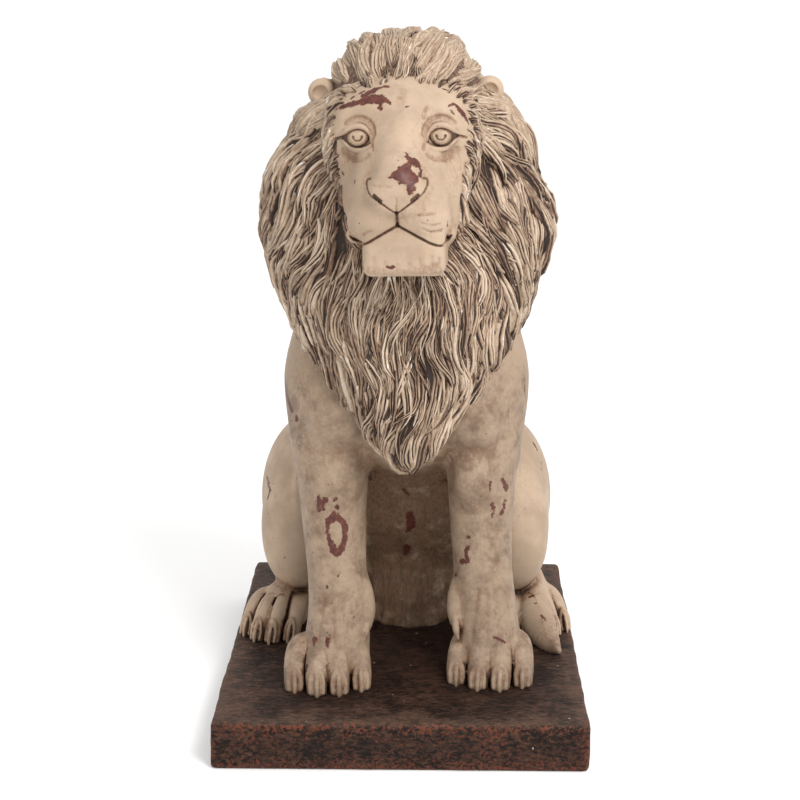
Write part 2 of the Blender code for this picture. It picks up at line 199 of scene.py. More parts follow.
def waves(places, size, seed):
    """A smooth relief between about -1 and 1 whose swells are about this size."""
    x, y, z = np.moveaxis(np.asarray(places, dtype=float), -1, 0) / size
    a = np.sin(x * 3.1 + 1.7 * np.sin(y * 1.3 + seed) + seed * 2.1)
    b = np.sin(y * 2.9 + 1.9 * np.sin(z * 1.7 + seed * 1.3) + seed * 0.7)
    c = np.sin(z * 3.3 + 1.5 * np.sin(x * 1.9 + seed * 0.6) + seed * 3.7)
    return (a + b + c + np.sin((x + y) * 1.9 + seed) * np.sin((z - x) * 2.3 + seed * 5)) / 3.0


def piece_from(name, points, faces, finish, **marks):
    """A piece of the model from its points and faces, with a value of each mark at each point."""
    mesh = bpy.data.meshes.new(name)
    points = np.asarray(points, dtype=np.float32)
    faces = np.asarray(faces, dtype=np.int32)
    sides = faces.shape[1]
    mesh.vertices.add(len(points))
    mesh.vertices.foreach_set("co", points.ravel())
    mesh.loops.add(faces.size)
    mesh.loops.foreach_set("vertex_index", faces.ravel())
    mesh.polygons.add(len(faces))
    mesh.polygons.foreach_set("loop_start", np.arange(0, faces.size, sides, dtype=np.int32))
    mesh.update(calc_edges=True)
    mesh.validate()
    for mark, values in marks.items():
        flat = values.ndim == 1
        layer = mesh.attributes.new(mark, "FLOAT" if flat else "FLOAT_VECTOR", "POINT")
        layer.data.foreach_set("value" if flat else "vector", values.astype(np.float32).ravel())
    mesh.shade_smooth()
    mesh.materials.append(finish)
    made = bpy.data.objects.new(name, mesh)
    bpy.context.scene.collection.objects.link(made)
    return made


def quads_between(at):
    """The four-sided faces between a grid's points, from the points' numbers."""
    return np.stack([at[:-1, :-1], at[1:, :-1], at[1:, 1:], at[:-1, 1:]], axis=-1).reshape(-1, 4)


def plinth_points():
    """The slab's six sides as grids of points, rounded at the edges and made uneven."""
    low, high = (np.array(corner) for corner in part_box("plinth"))
    half = (high - low) / 2
    counts = np.round((high - low) / PLINTH_GRID).astype(int)
    points, faces = [], []
    for axis in range(3):
        a, b = (axis + 1) % 3, (axis + 2) % 3
        u = np.linspace(-half[a], half[a], counts[a] + 1)
        v = np.linspace(-half[b], half[b], counts[b] + 1)
        for sign in (-1, 1):
            grid = np.zeros((len(u), len(v), 3))
            grid[..., a], grid[..., b] = np.meshgrid(u, v, indexing="ij")
            grid[..., axis] = sign * half[axis]
            at = np.arange(grid[..., 0].size).reshape(len(u), len(v)) + sum(map(len, points))
            faces.append(quads_between(at)[:, ::sign])
            points.append(grid.reshape(-1, 3))
    points, faces = np.vstack(points), np.vstack(faces)
    _, first, same = np.unique(np.round(points * 1e5), axis=0, return_index=True, return_inverse=True)
    points, faces = points[first], same.ravel()[faces]
    core = np.clip(points, -(half - PLINTH_EDGE_RADIUS), half - PLINTH_EDGE_RADIUS)
    out = (points - core) / np.linalg.norm(points - core, axis=1, keepdims=True)
    points = core + out * PLINTH_EDGE_RADIUS
    near_edge = np.sort(half - np.abs(points), axis=1)[:, 1]
    wear = np.exp(-near_edge / EDGE_WEAR_WIDTH) * 0.75 + np.where(out[:, 2] > 0.7, 0.0, 0.28)
    relief = waves(points, 0.045, 1.0) * PLINTH_WAVE * 0.6
    relief = relief + waves(points, 0.013, 4.0) * PLINTH_WAVE * 0.4
    swept = waves(points * (1, 2.4, 1), 0.009, 7.0) * 0.6
    swept = swept + waves(points * (1, 2, 1), 0.004, 2.0) * 0.4
    on_top = np.clip((out[:, 2] - 0.5) * 2, 0, 1)
    relief = relief * (1 - on_top) - on_top * PLINTH_TOP_RELIEF * (0.5 - 0.5 * swept)
    relief -= PLINTH_SIDE_INSET * (1 - on_top)
    relief[out[:, 2] < -0.7] = 0
    points = points + out * relief[:, None] + (low + high) / 2
    rim = np.exp(-near_edge / RIM_WIDTH)
    return points, faces, wear, 1 - on_top, rim


points, faces, wear, side, rim = plinth_points()
plinth = piece_from("plinth_cast", points, faces, plinth_finish(), wear=wear, side=side, rim=rim)
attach(plinth, "root")
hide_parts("plinth")

# The lion's body: hollow cast resin, in one piece with the head and mane. It leans forward on
# straight forelegs, and its haunches, hind feet and tail lie on the plinth. The figure was carved
# smooth, so it is built here as clay: lumps pressed together, each with its own fillet.
CLAY_ORIGIN = np.array((0.003, 0.0, 0.042))
MM = 0.001
BODY_LOW, BODY_HIGH = (-164.0, -158.0, -5.0), (164.0, 190.0, 330.0)
BODY_STEP = 2.25
FEET_STEP = 1.45
FEET_TOP, FEET_BACK = 48.0, 66.0
WRIST_TOP, WRIST_BACK = 94.0, -38.0
CUT_BELOW = -1.0
TRUNK = [
    (370, 0, 84, -86, 48),
    (300, 0, 93, -86, 66),
    (250, 0, 96, -78, 86),
    (200, 0, 95, -60, 110),
    (150, 0, 95, -32, 134),
    (100, 0, 97, -8, 154),
    (60, 0, 90, 24, 162),
    (30, 0, 86, 44, 162),
    (-16, 0, 80, 54, 158),
]
FORELEG_LEFT = [
    (-67, -46, 262, 38, 44),
    (-66, -52, 225, 36, 42),
    (-65, -62, 183, 32, 36),
    (-63, -74, 130, 28, 28.5),
    (-60.5, -84, 90, 26, 26.5),
    (-59, -92, 55, 27.5, 27),
    (-62, -98, 18, 30, 30),
]
FORELEG_RIGHT = [
    (67, -42, 262, 38, 44),
    (67, -47, 225, 35, 42),
    (67, -55, 183, 31, 36),
    (67, -65, 130, 27.5, 28.5),
    (69, -73, 90, 26, 26.5),
    (72, -79, 55, 27.5, 27),
    (74, -84, 18, 30, 30),
]
SHIN = [(99, 28, 74, 25, 27), (98, 60, 42, 23, 25), (92, 110, 20, 25, 25)]
HIND_FOOT_LEFT = [
    (-94, 112, 16, 22, 20),
    (-102, 74, 18, 21, 20),
    (-112, 42, 22, 21, 20),
    (-120, 18, 22, 23, 17),
]
HIND_FOOT_RIGHT = [
    (90, 112, 16, 22, 20),
    (98, 80, 18, 21, 20),
    (108, 52, 22, 21, 19),
    (118, 32, 22, 22, 17),
]
TAIL = [
    (10, 160, 34, 18, 18),
    (58, 162, 24, 15, 15),
    (94, 138, 22, 13, 13),
    (108, 96, 34, 12, 12),
    (118, 60, 40, 11.5, 11.5),
    (122, 36, 36, 11, 11),
]
TAIL_TUFT = [
    (120, 46, 37, 9, 9),
    (122, 28, 32, 13, 12),
    (122, 4, 20, 16, 13),
    (126, -18, 12, 15, 11),
    (134, -36, 6, 10, 7),
    (140, -48, 4, 3, 3),
]
DEWCLAW = [
    (-3, 8, 92, 5, 6),
    (1, 3, 76, 8.0, 9),
    (3, -2, 60, 8, 8.5),
    (2, -6, 50, 6.5, 6.5),
]
DEWCLAW_TIP = [(3, -10, 53, 3.2, 3.6), (2.5, -15, 45, 3.3, 3.6), (0.5, -15.5, 36, 1.5, 1.9)]
PAWS = [
    ((-68.5, -110, 0), 4, 1.0),
    ((76, -96, 0), -5, 1.0),
    ((-124, 6, 0), -20, 0.78),
    ((122, 22, 0), 22, 0.76),
]
TOE_SPREAD = 18.5
TOE_RADIUS = 10.4
TOE_SETBACK = (9.0, 0.0, 0.0, 9.0)
TOE_SHEATH = [
    (-0.92, -30.5, 2),
    (-1.0, -27.5, 10),
    (-0.74, -24.5, 16.5),
    (0, -22.6, 20.5),
    (0.74, -24.5, 16.5),
    (1.0, -27.5, 10),
    (0.92, -30.5, 2),
]
BELLY_FURROWS = [(-27, 8, 96), (-17, 14, 130), (-6, 4, 90), (4, 30, 140), (14, 6, 110), (25, 16, 100)]
BELLY_TUFTS = [
    (-31, 9), (-20, 4), (-9, 7), (2, 3), (12, 8), (23, 3), (33, 10), (-27, 30), (27, 34), (6, 28),
]
TENDONS = [(0.86, 40), (0.74, 52), (0.60, 66), (0.48, 82)]


def turned(degrees):
    """The matrix of a turn about X, then Y, then Z; rows times this go into the turned frame."""
    made = np.eye(3)
    for axis, angle in enumerate(np.radians(degrees)):
        a, b = (axis + 1) % 3, (axis + 2) % 3
        one = np.eye(3)
        one[a, a] = one[b, b] = math.cos(angle)
        one[a, b], one[b, a] = -math.sin(angle), math.sin(angle)
        made = one @ made
    return made.astype(np.float32)


def curve_through(points, steps):
    """Points along a smooth curve through the given ones (Catmull-Rom)."""
    ends = np.vstack([points[:1], points, points[-1:]])
    t = (np.arange(steps) / steps)[:, None]
    found = [
        0.5 * (2 * b + (c - a) * t + (2 * a - 5 * b + 4 * c - d) * t**2 + (3 * b - 3 * c + d - a) * t**3)
        for a, b, c, d in zip(ends, ends[1:], ends[2:], ends[3:])
    ]
    return np.vstack([*found, points[-1:]])


class Clay:
    """A block of modelling clay: a grid of distances to the form's surface, negative inside."""

    FAR = 60.0

    def __init__(self, low, high, step):
        self.low = np.float32(low)
        self.step = step
        counts = np.ceil((np.array(high) - self.low) / step).astype(int) + 1
        self.field = np.full(counts, self.FAR, dtype=np.float32)

    def near(self, low, high):
        """The part of the grid inside a box, and the places of its points."""
        first = np.clip(np.floor((low - self.low) / self.step), 0, self.field.shape).astype(int)
        last = np.clip(np.ceil((high - self.low) / self.step) + 1, 0, self.field.shape).astype(int)
        spans = [np.arange(a, b, dtype=np.float32) for a, b in zip(first, last)]
        places = np.stack(np.meshgrid(*spans, indexing="ij"), axis=-1)
        places *= self.step
        places += self.low
        return tuple(slice(a, b) for a, b in zip(first, last)), places

    def press(self, part, gap, blend, cut=False):
        """Joins a lump of the given distances, or cuts it away, with a fillet about blend wide."""
        old = self.field[part]
        if cut:
            old = -old
        new = np.minimum(old, gap)
        if blend:
            near = np.maximum(blend - np.abs(old - gap), 0.0) / blend
            new = new - near * near * blend / 4
        self.field[part] = -new if cut else new

    def oval(self, centre, radii, turn=(0, 0, 0), blend=10.0, cut=False):
        """An ellipsoid with its half sizes along X, Y and Z, turned in degrees about them."""
        centre, radii = np.float32(centre), np.float32(radii)
        reach = radii.max() + blend + 6
        part, places = self.near(centre - reach, centre + reach)
        local = (places - centre) @ turned(turn)
        scaled = np.linalg.norm(local / radii, axis=-1)
        steep = np.linalg.norm(local / radii**2, axis=-1)
        across = np.full_like(scaled, radii.min())
        np.divide(scaled, steep, out=across, where=steep > 1e-6)
        self.press(part, (scaled - 1) * across, blend, cut)

    def slab(self, centre, half, rounding, turn=(0, 0, 0), blend=6.0):
        """A block with rounded edges, from its half sizes."""
        centre, half = np.float32(centre), np.float32(half)
        reach = np.linalg.norm(half) + blend + 6
        part, places = self.near(centre - reach, centre + reach)
        over = np.abs((places - centre) @ turned(turn)) - (half - rounding)
        outside = np.linalg.norm(np.maximum(over, 0), axis=-1)
        self.press(part, outside + np.minimum(over.max(axis=-1), 0) - rounding, blend)

    def limb(self, spine, blend=8.0, cut=False, steps=4):
        """A tapered limb. Each station of the spine is x, y, z, half width and half depth."""
        stations = curve_through(np.float32(spine), steps)
        reach = stations[:, 3:].max() + blend + 6
        whole, _ = self.near(stations[:, :3].min(0) - reach, stations[:, :3].max(0) + reach)
        gap = np.full_like(self.field[whole], self.FAR)
        for a, b in zip(stations, stations[1:]):
            along = b[:3] - a[:3]
            length = np.linalg.norm(along)
            reach = max(*a[3:], *b[3:]) + blend + 6
            part, places = self.near(np.minimum(a, b)[:3] - reach, np.maximum(a, b)[:3] + reach)
            if length < 1e-6 or not places.size:
                continue
            along /= length
            across = np.cross(along, np.float32((0, 1, 0)))
            if np.linalg.norm(across) < 0.3:
                across = np.float32((1, 0, 0)) - along * along[0]
            across /= np.linalg.norm(across)
            off = places - a[:3]
            run = off @ along
            t = np.clip(run / length, 0, 1)
            wide = a[3] + (b[3] - a[3]) * t
            deep = a[4] + (b[4] - a[4]) * t
            thin = np.minimum(wide, deep)
            scaled = (off @ across / wide) ** 2 + (off @ np.cross(along, across) / deep) ** 2
            scaled = np.sqrt(scaled + ((run - length * t) / thin) ** 2)
            here = tuple(slice(p.start - w.start, p.stop - w.start) for p, w in zip(part, whole))
            gap[here] = np.minimum(gap[here], (scaled - 1) * thin)
        self.press(whole, gap, blend, cut)

    def stack(self, levels, blend=8.0):
        """Ovals stacked up Z. Each level is z, middle x, half width, front y and back y."""
        levels = np.float32(levels)
        levels = curve_through(levels[np.argsort(levels[:, 0])], 6)
        low = np.array((-levels[:, 2].max(), levels[:, 3].min(), levels[0, 0])) - 8
        high = np.array((levels[:, 2].max(), levels[:, 4].max(), levels[-1, 0])) + 8
        part, places = self.near(low, high)
        x, y, z = np.moveaxis(places, -1, 0)
        middle, half, front, back = (
            np.interp(z[0, 0], levels[:, 0], column).astype(np.float32) for column in levels.T[1:]
        )
        deep = (back - front) / 2
        gap = np.sqrt(((x - middle) / half) ** 2 + ((y - (front + back) / 2) / deep) ** 2) - 1
        steep = np.linalg.norm(np.gradient(gap, self.step), axis=0)
        rise = np.maximum(levels[0, 0] - z, z - levels[-1, 0])
        self.press(part, np.maximum(gap / np.maximum(steep, 1 / self.FAR), rise), blend)

    def pair(self, shape, spine_or_centre, *sizes, **options):
        """The same lump on both sides of the middle plane."""
        place = np.array(spine_or_centre, float)
        shape(place, *sizes, **options)
        place[..., 0] *= -1
        if "turn" in options:
            tip, roll, yaw = options["turn"]
            options["turn"] = (tip, -roll, -yaw)
        shape(place, *sizes, **options)

    def distance(self, places):
        """How far places lie outside the form, read between the grid's points."""
        at = np.clip((places - self.low) / self.step, 0, np.array(self.field.shape) - 1.001)
        cell = at.astype(int)
        share = at - cell
        total = 0.0
        for corner in np.ndindex(2, 2, 2):
            weight = np.prod(np.where(corner, share, 1 - share), axis=-1)
            total = total + weight * self.field[tuple((cell + corner).T)]
        return total

    def facing(self, places):
        """The way out of the form at each place."""
        reach = np.eye(3) * self.step
        out = np.stack([self.distance(places + r) - self.distance(places - r) for r in reach], axis=-1)
        return out / np.maximum(np.linalg.norm(out, axis=-1, keepdims=True), 1e-9)

    def front(self, across, up):
        """The places on the form's front, as seen from -Y, at the given x and z."""
        deep = np.arange(self.low[1], self.low[1] + self.step * self.field.shape[1], self.step / 3)
        found = []
        for x, z in zip(across, up):
            column = np.stack([np.full_like(deep, x), deep, np.full_like(deep, z)], axis=-1)
            inside = self.distance(column) < 0
            if not inside.any() and not found:
                inside = self.distance(column) == self.distance(column).min()
            found.append(column[inside.argmax()] if inside.any() else found[-1])
        return np.array(found)

    def surface(self):
        """The points and four-sided faces of the form's surface."""
        grid = openvdb.FloatGrid()
        grid.copyFromArray(self.field)
        points, faces = grid.convertToQuads(isovalue=0.0)
        return points * self.step + self.low, faces

    def hollowness(self, points, out, reaches):
        """How far each place lies in a crease: nothing on open ground, one deep inside."""
        found = 0.0
        for reach in reaches:
            open_to = self.distance(points + out * reach) / reach
            found = found + np.clip(1 - open_to, 0, 1) / len(reaches)
        return found


def grooves(clay, line, half_width, deep, sides=(-1, 1), blend=1.2):
    """Cuts a line into the clay's front, on one side or both."""
    x, z = curve_through(np.array(line, float), 4).T
    for side in sides:
        cut = np.column_stack([clay.front(side * x, z), x * 0 + half_width, x * 0 + deep])
        clay.limb(cut, blend=blend, cut=True, steps=1)


def trunk(clay):
    """The broad masses: trunk, breast, pelvis, shoulders, thighs and the columns of the forelegs."""
    clay.stack(TRUNK)
    clay.oval((0, -56, 250), (70, 50, 66), blend=24)
    clay.oval((3, 50, 58), (40, 32, 92), (-9, 0, 0), blend=10)
    for x, z in BELLY_TUFTS:
        clay.oval((x, 19 + abs(x - 3) * 0.36, z), (6.5, 5, 11), (12, 0, 0), blend=4)
    clay.oval((0, 98, 104), (109, 64, 86), (-14, 0, 0), blend=30)
    clay.pair(clay.oval, (73, -34, 246), (33, 51, 69), turn=(-8, 4, 0), blend=20)
    for side, out in ((-1, 1.0), (1, 0.95)):
        clay.oval((side * 90 * out, 86, 112), (53, 74, 80), (-18, 0, 0), blend=30)
        clay.oval((side * 105 * out, 28, 92), (33, 37, 53), (-12, 0, 0), blend=20)
    clay.pair(clay.limb, SHIN, blend=14)
    clay.limb(FORELEG_LEFT, blend=12)
    clay.limb(FORELEG_RIGHT, blend=12)
    clay.pair(clay.oval, (58, -86, 240), (26, 20, 30), turn=(-6, 0, 0), blend=14)
    clay.pair(clay.oval, (82, -60, 204), (17, 27, 36), turn=(-8, 4, 0), blend=10)
    clay.pair(clay.oval, (60, -84, 178), (17, 16, 26), turn=(-8, 0, 0), blend=10)
    for x, low, high in BELLY_FURROWS:
        grooves(clay, [(x, low), (x * 1.1 + 1, (low + high) / 2), (x * 0.9, high)], 1.6, 1.0, (1,), 7)


def feet_and_tail(clay):
    """The hind feet, all four paws, the dewclaws and the tail. Gives the lines between the toes."""
    clay.limb(HIND_FOOT_LEFT, blend=8)
    clay.limb(HIND_FOOT_RIGHT, blend=8)
    between_toes = []
    for middle, heading, breadth in PAWS:
        between_toes += paw(clay, middle, heading, breadth)
    for spine, blend in ((DEWCLAW, 4), (DEWCLAW_TIP, 0.8)):
        clay.limb([(x - 37.5, y - 92, z, w, d) for x, y, z, w, d in spine], blend=blend)
        clay.limb([(47.5 - x, y - 84, z, w, d) for x, y, z, w, d in spine], blend=blend)
    for out in (-15.5, 0.5, 15.5):
        grooves(clay, [(-62 + out * share - z / 40, z) for share, z in TENDONS], 0.9, 0.7, (1,), 3)
        grooves(clay, [(71 + out * share, z) for share, z in TENDONS], 0.9, 0.7, (1,), 3)
    clay.limb(TAIL, blend=7)
    clay.limb(TAIL_TUFT, blend=2)
    return between_toes


def paw(clay, middle, heading, breadth):
    """Four toes with their knuckles, claws and the claws' cuffs. Gives the lines between the toes."""
    turn = turned((0, 0, heading))

    def placed(spine):
        spine = np.array(spine, float)
        spine[:, :3] = spine[:, :3] @ turn.T + middle
        return spine

    lines = []
    sole = placed([(0, 14, 16, 0, 0)])[0, :3]
    clay.oval(sole, (34 * breadth, 26 * breadth, 20), (0, 0, heading), blend=8)
    for i, setback in enumerate(TOE_SETBACK):
        x = (i - 1.5) * TOE_SPREAD * breadth
        radius = TOE_RADIUS * breadth
        toe = [
            (x * 0.60, 24 + setback, 25, radius * 0.86, radius * 0.8),
            (x * 0.86, 4 + setback, 28, radius, radius * 0.98),
            (x * 0.98, -9 + setback, 23, radius, radius),
            (x * 1.03, -19 + setback, 12, radius * 0.96, radius * 0.92),
            (x * 1.04, -24 + setback, 2, radius * 0.86, radius * 0.82),
        ]
        clay.limb(placed(toe), blend=2.6)
        x *= 1.04
        sheath = [
            (x + out * 5.8 * breadth, down + setback - 0.8, z, 2.1 * breadth, 2.4)
            for out, down, z in TOE_SHEATH
        ]
        clay.limb(placed(sheath), blend=0.8)
        claw = [
            (x, -25 + setback, 18, 1.6 * breadth, 2.2),
            (x, -30 + setback, 12, 2.5 * breadth, 3.0),
            (x, -33 + setback, 5, 2.3 * breadth, 3.0),
            (x, -34 + setback, -1, 1.7 * breadth, 2.2),
        ]
        clay.limb(placed(claw), blend=0.6)
    for i in range(3):
        x = (i - 1) * TOE_SPREAD * breadth
        ahead = 3.0 if i == 1 else 7.5
        gap = [
            (x * 0.66, 16 + ahead, 37, 0.5, 0.8),
            (x * 0.80, 5 + ahead, 36.5, 0.7, 1.4),
            (x * 0.94, -6 + ahead, 31, 0.8, 2.2),
            (x * 1.03, -16 + ahead, 21, 0.9, 2.2),
            (x * 1.05, -24 + ahead, 9, 1.0, 1.8),
            (x * 1.05, -27 + ahead, 0, 1.0, 1.8),
        ]
        clay.limb(placed(gap), blend=1.5, cut=True)
        lines.append([(x, z, 0.3) for x, _, z in placed(gap)[:, :3]])
    return lines


def cut_flat(clay):
    """Trims the clay just under the plinth's top."""
    _, places = clay.near(clay.low, clay.low + np.float32(clay.field.shape) * clay.step)
    clay.field = np.maximum(clay.field, CUT_BELOW - places[..., 2])


def kept(points, faces, keep):
    """The faces whose points are all kept, and the points that they use."""
    faces = faces[keep[faces].all(axis=1)]
    used = np.unique(faces)
    places = np.zeros(len(points), dtype=int)
    places[used] = np.arange(len(used))
    return used, places[faces]


# The mane's mass, a plain form under the locks, cast in one with the body and head. What lies deep
# inside it isn't seen, and is left out of the other pieces.
MANE_LOW, MANE_HIGH = (-140.0, -160.0, 196.0), (140.0, 110.0, 572.0)
MANE_STEP = 3.0
MANE_LEVELS = [
    (557, 0, 8, -44, -30),
    (554, 0, 27, -64, -12),
    (547, 0, 42, -80, 4),
    (538, 0, 50, -92, 14),
    (526, 0, 58, -101, 24),
    (512, 2, 67, -107, 32),
    (500, 3, 80, -110, 38),
    (486, 1, 92, -110, 44),
    (472, 3, 100, -111, 50),
    (445, -3, 110, -113, 58),
    (417, 0, 120, -117, 64),
    (389, 1, 122, -123, 68),
    (361, -1, 115, -127, 72),
    (333, 0, 105, -125, 78),
    (304, 0, 96, -111, 84),
    (282, 0, 84, -95, 88),
    (255, 0, 66, -78, 84),
]
BIB = [
    (1, -70, 330, 78, 60),
    (1, -76, 304, 76, 56),
    (2, -82, 276, 62, 50),
    (2, -92, 250, 42, 38),
    (3, -106, 228, 24, 26),
    (3, -124, 211, 8, 10),
]

mass = Clay(MANE_LOW, MANE_HIGH, MANE_STEP)
mass.stack(MANE_LEVELS)
mass.limb(BIB, blend=24)

# The finish of the whole lion: cream paint over a red-brown ground. Dark brown glaze was wiped over
# it and stays in the creases, ridges are dry-brushed pale, and chips show the ground. Painted shade is
# added in the eyes, between the locks and on the belly, with a few painted highlights on the mane.
BARE = 60.0


def lion_finish(name, hair=False):
    made, shader, value = finish_of(name)
    places = value.node("ShaderNodeTexCoord", {}, {}, output=3)
    # Glaze in the creases, with painted shade added in the eyes and on the mass between the locks.
    wash = value.attribute("wash")
    chip = value.attribute("chip")
    tone = value.attribute("tone")
    cloud = value.noise(places, 14.0, 4.0, 0.55)
    blotch = value.noise(places, 55.0, 4.0, 0.6)
    stipple = value.noise(places, 620.0, 3.0, 0.6)
    pore = value.noise(places, 260.0, 4.0, 0.65)
    aged = (cloud * 0.6 + blotch * 0.4).from_to(0.38, 0.62)
    colour = aged.mix(paint(157, 135, 113), paint(177, 154, 131))
    warm = (value.noise(places, 33.0, 3.0, 0.5) - 0.5).from_to(0.08, 0.5)
    colour = (warm * 0.45).mix(colour, paint(190, 148, 110))
    # Old glaze dulls the forelegs a little, and painted shade darkens the belly between them.
    dull = (tone * (cloud + blotch * 3.2 + pore - 1.55)).from_to(0.0, 1.0)
    colour = (dull * 0.95).mix(colour, paint(92, 70, 53))
    if hair:
        comb = value.attribute("comb", 1)
        strand = value.noise(comb, 1.0, 4.0, 0.62, 0.25)
        wisp = value.noise(comb, 0.45, 3.0, 0.6, 0.4)
        dark = wash * 1.3 + (0.5 - strand) * 1.2 + (0.5 - wisp) * 0.9 + (pore - 0.5) * 0.35
        colour = dark.from_to(0.05, 0.5).mix(colour, paint(120, 92, 73))
        colour = dark.from_to(0.4, 0.85).mix(colour, paint(44, 30, 22))
        dry = (strand * 0.8 + (pore - 0.5) * 0.5 - wash * 0.8).from_to(0.34, 0.56)
        colour = (dry * 0.75).mix(colour, paint(205, 186, 165))
        # Painted highlights: small white glints put on the ridges of the strands.
        painted_highlight = (value.noise(places, 75.0, 3.0, 0.6) + strand * 0.3 - wash * 0.3).from_to(0.83, 0.89)
        colour = (painted_highlight * 0.7).mix(colour, paint(240, 236, 230))
        red = value.noise(comb, 0.23, 2.0, 0.5, 0.6).from_to(0.70, 0.76)
        colour = (red * 0.55).mix(colour, paint(128, 76, 56))
        height = strand * 0.5 + wisp * 0.15 + pore * 0.35
        relief = 0.0015
    else:
        lie = value.node("ShaderNodeMapping", {}, {"Vector": places, "Scale": (1.0, 1.0, 0.2)})
        fur = value.noise(lie, 430.0, 3.0, 0.6, 0.4)
        dirt = wash * 1.3 + (blotch - 0.5) * 0.75 + (pore - 0.5) * 0.55 + (stipple - 0.5) * 0.3
        dirt = dirt + (0.5 - fur) * (tone + 0.25) * 2.2
        colour = dirt.from_to(0.15, 0.8).mix(colour, paint(128, 98, 76))
        colour = (dirt.from_to(0.6, 1.15) * 0.92).mix(colour, paint(56, 38, 28))
        speck = (pore * 0.45 + stipple * 0.55).from_to(0.60, 0.70)
        colour = (speck * 0.45).mix(colour, paint(128, 95, 73))
        light = (stipple * 0.6 + pore * 0.4).from_to(0.42, 0.30)
        colour = (light * 0.3).mix(colour, paint(200, 179, 155))
        height = stipple * 0.5 + pore * 0.35 + fur * (tone + 0.2) * 1.6
        relief = 0.0005
    ragged = chip + (value.noise(places, 190.0, 5.0, 0.72) - 0.5) * 9.0 + (pore - 0.5) * 2.0 + 0.15
    bare = (0.0 - ragged).from_to(-0.12, 0.12)
    rim = (0.0 - ragged).from_to(-0.75, -0.1)
    ground = pore.from_to(0.35, 0.7).mix(paint(70, 33, 25), paint(100, 52, 40))
    colour = (rim * 0.45).mix(colour, paint(104, 66, 49))
    fleck = value.noise(places, 170.0, 2.0, 0.5).from_to(0.745, 0.76)
    colour = (bare + fleck * 0.8).mix(colour, ground)
    gloss = wash * 0.1 + 0.56 - bare * 0.1 + (stipple - 0.5) * 0.2
    height = height - bare * 0.9
    bump = value.node("ShaderNodeBump", {}, {"Height": height, "Strength": 0.6, "Distance": relief})
    feed(shader, Base_Color=colour, Roughness=gloss, Normal=bump)
    shader.inputs["Specular IOR Level"].default_value = 0.35
    return made


def bareness(points, clay, strokes):
    """How far each point lies outside the nearest chip in the paint, in millimetres.

    A chip is a line on the clay's front, as x, z and half width at each place. One with negative
    half widths is an island of paint left inside a chip.
    """
    gap = np.full(len(points), BARE)
    for stroke in strokes:
        x, z, half = curve_through(np.array(stroke, float), 3).T
        line = np.column_stack([clay.front(x, z), half])
        near = (np.abs(points - line[:, :3].mean(axis=0)) < 50).all(axis=1)
        for a, b in zip(line, line[1:] if len(line) > 1 else line):
            off = points[near] - a[:3]
            way = b[:3] - a[:3]
            share = np.clip(off @ way / max(way @ way, 1e-6), 0, 1)
            far = np.linalg.norm(off - share[:, None] * way, axis=1)
            size = a[3] + (b[3] - a[3]) * share
            bare, island = np.minimum(gap[near], far - size), np.maximum(gap[near], -size - far)
            gap[near] = np.where(size > 0, bare, island)
    return gap


def glaze_and_painted_shade(points):
    """Darkening: the forelegs a little, by old glaze; the belly between them most, as painted shade."""
    x, y, z = points.T
    legs = np.clip((5 - y) / 45, 0, 1) * np.clip((310 - z) / 50, 0, 1)
    middle = np.clip((48 - np.abs(x - 3)) / 12, 0, 1) * np.clip((190 - z) / 35, 0, 1)
    behind = np.clip((y + 58) / 18, 0, 1) * np.clip((70 - y) / 20, 0, 1)
    return np.clip(0.45 * legs + 0.85 * middle * behind, 0, 1.0)


LINE_GLAZE = 0.32
LINE_GLAZE_WIDTH = 0.75


def lion_piece(name, points, faces, finish, out=None, **marks):
    """A piece of the lion's one casting, from points in millimetres over the plinth's top."""
    marks.setdefault("tone", np.zeros(len(points)))
    made = piece_from(name, points * MM + CLAY_ORIGIN, faces, finish, **marks)
    if out is not None:
        made.data.normals_split_custom_set_from_vertices(out.tolist())
    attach(made, "root")
    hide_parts("lion")


def cast(name, clay, finish, keep, chips, reaches=(3.0, 8.0, 20.0), turn=None, dulled=None, lined=()):
    """A piece of the lion read off the clay, with its creases' share of glaze."""
    points, faces = clay.surface()
    used, faces = kept(points, faces, keep(points))
    points = points[used]
    out = clay.facing(points)
    wash = clay.hollowness(points, out, reaches)
    chip = bareness(points, clay, chips)
    if lined:
        beside = np.maximum(bareness(points, clay, lined), 0)
        wash = wash + LINE_GLAZE * np.exp(-(beside / LINE_GLAZE_WIDTH) ** 2)
    if turn is not None:
        points, out = turn(points), turn(points + out) - turn(points)
    tone = np.zeros(len(points)) if dulled is None else dulled(points)
    lion_piece(name, points, faces, finish, out, wash=wash, chip=chip, tone=tone)


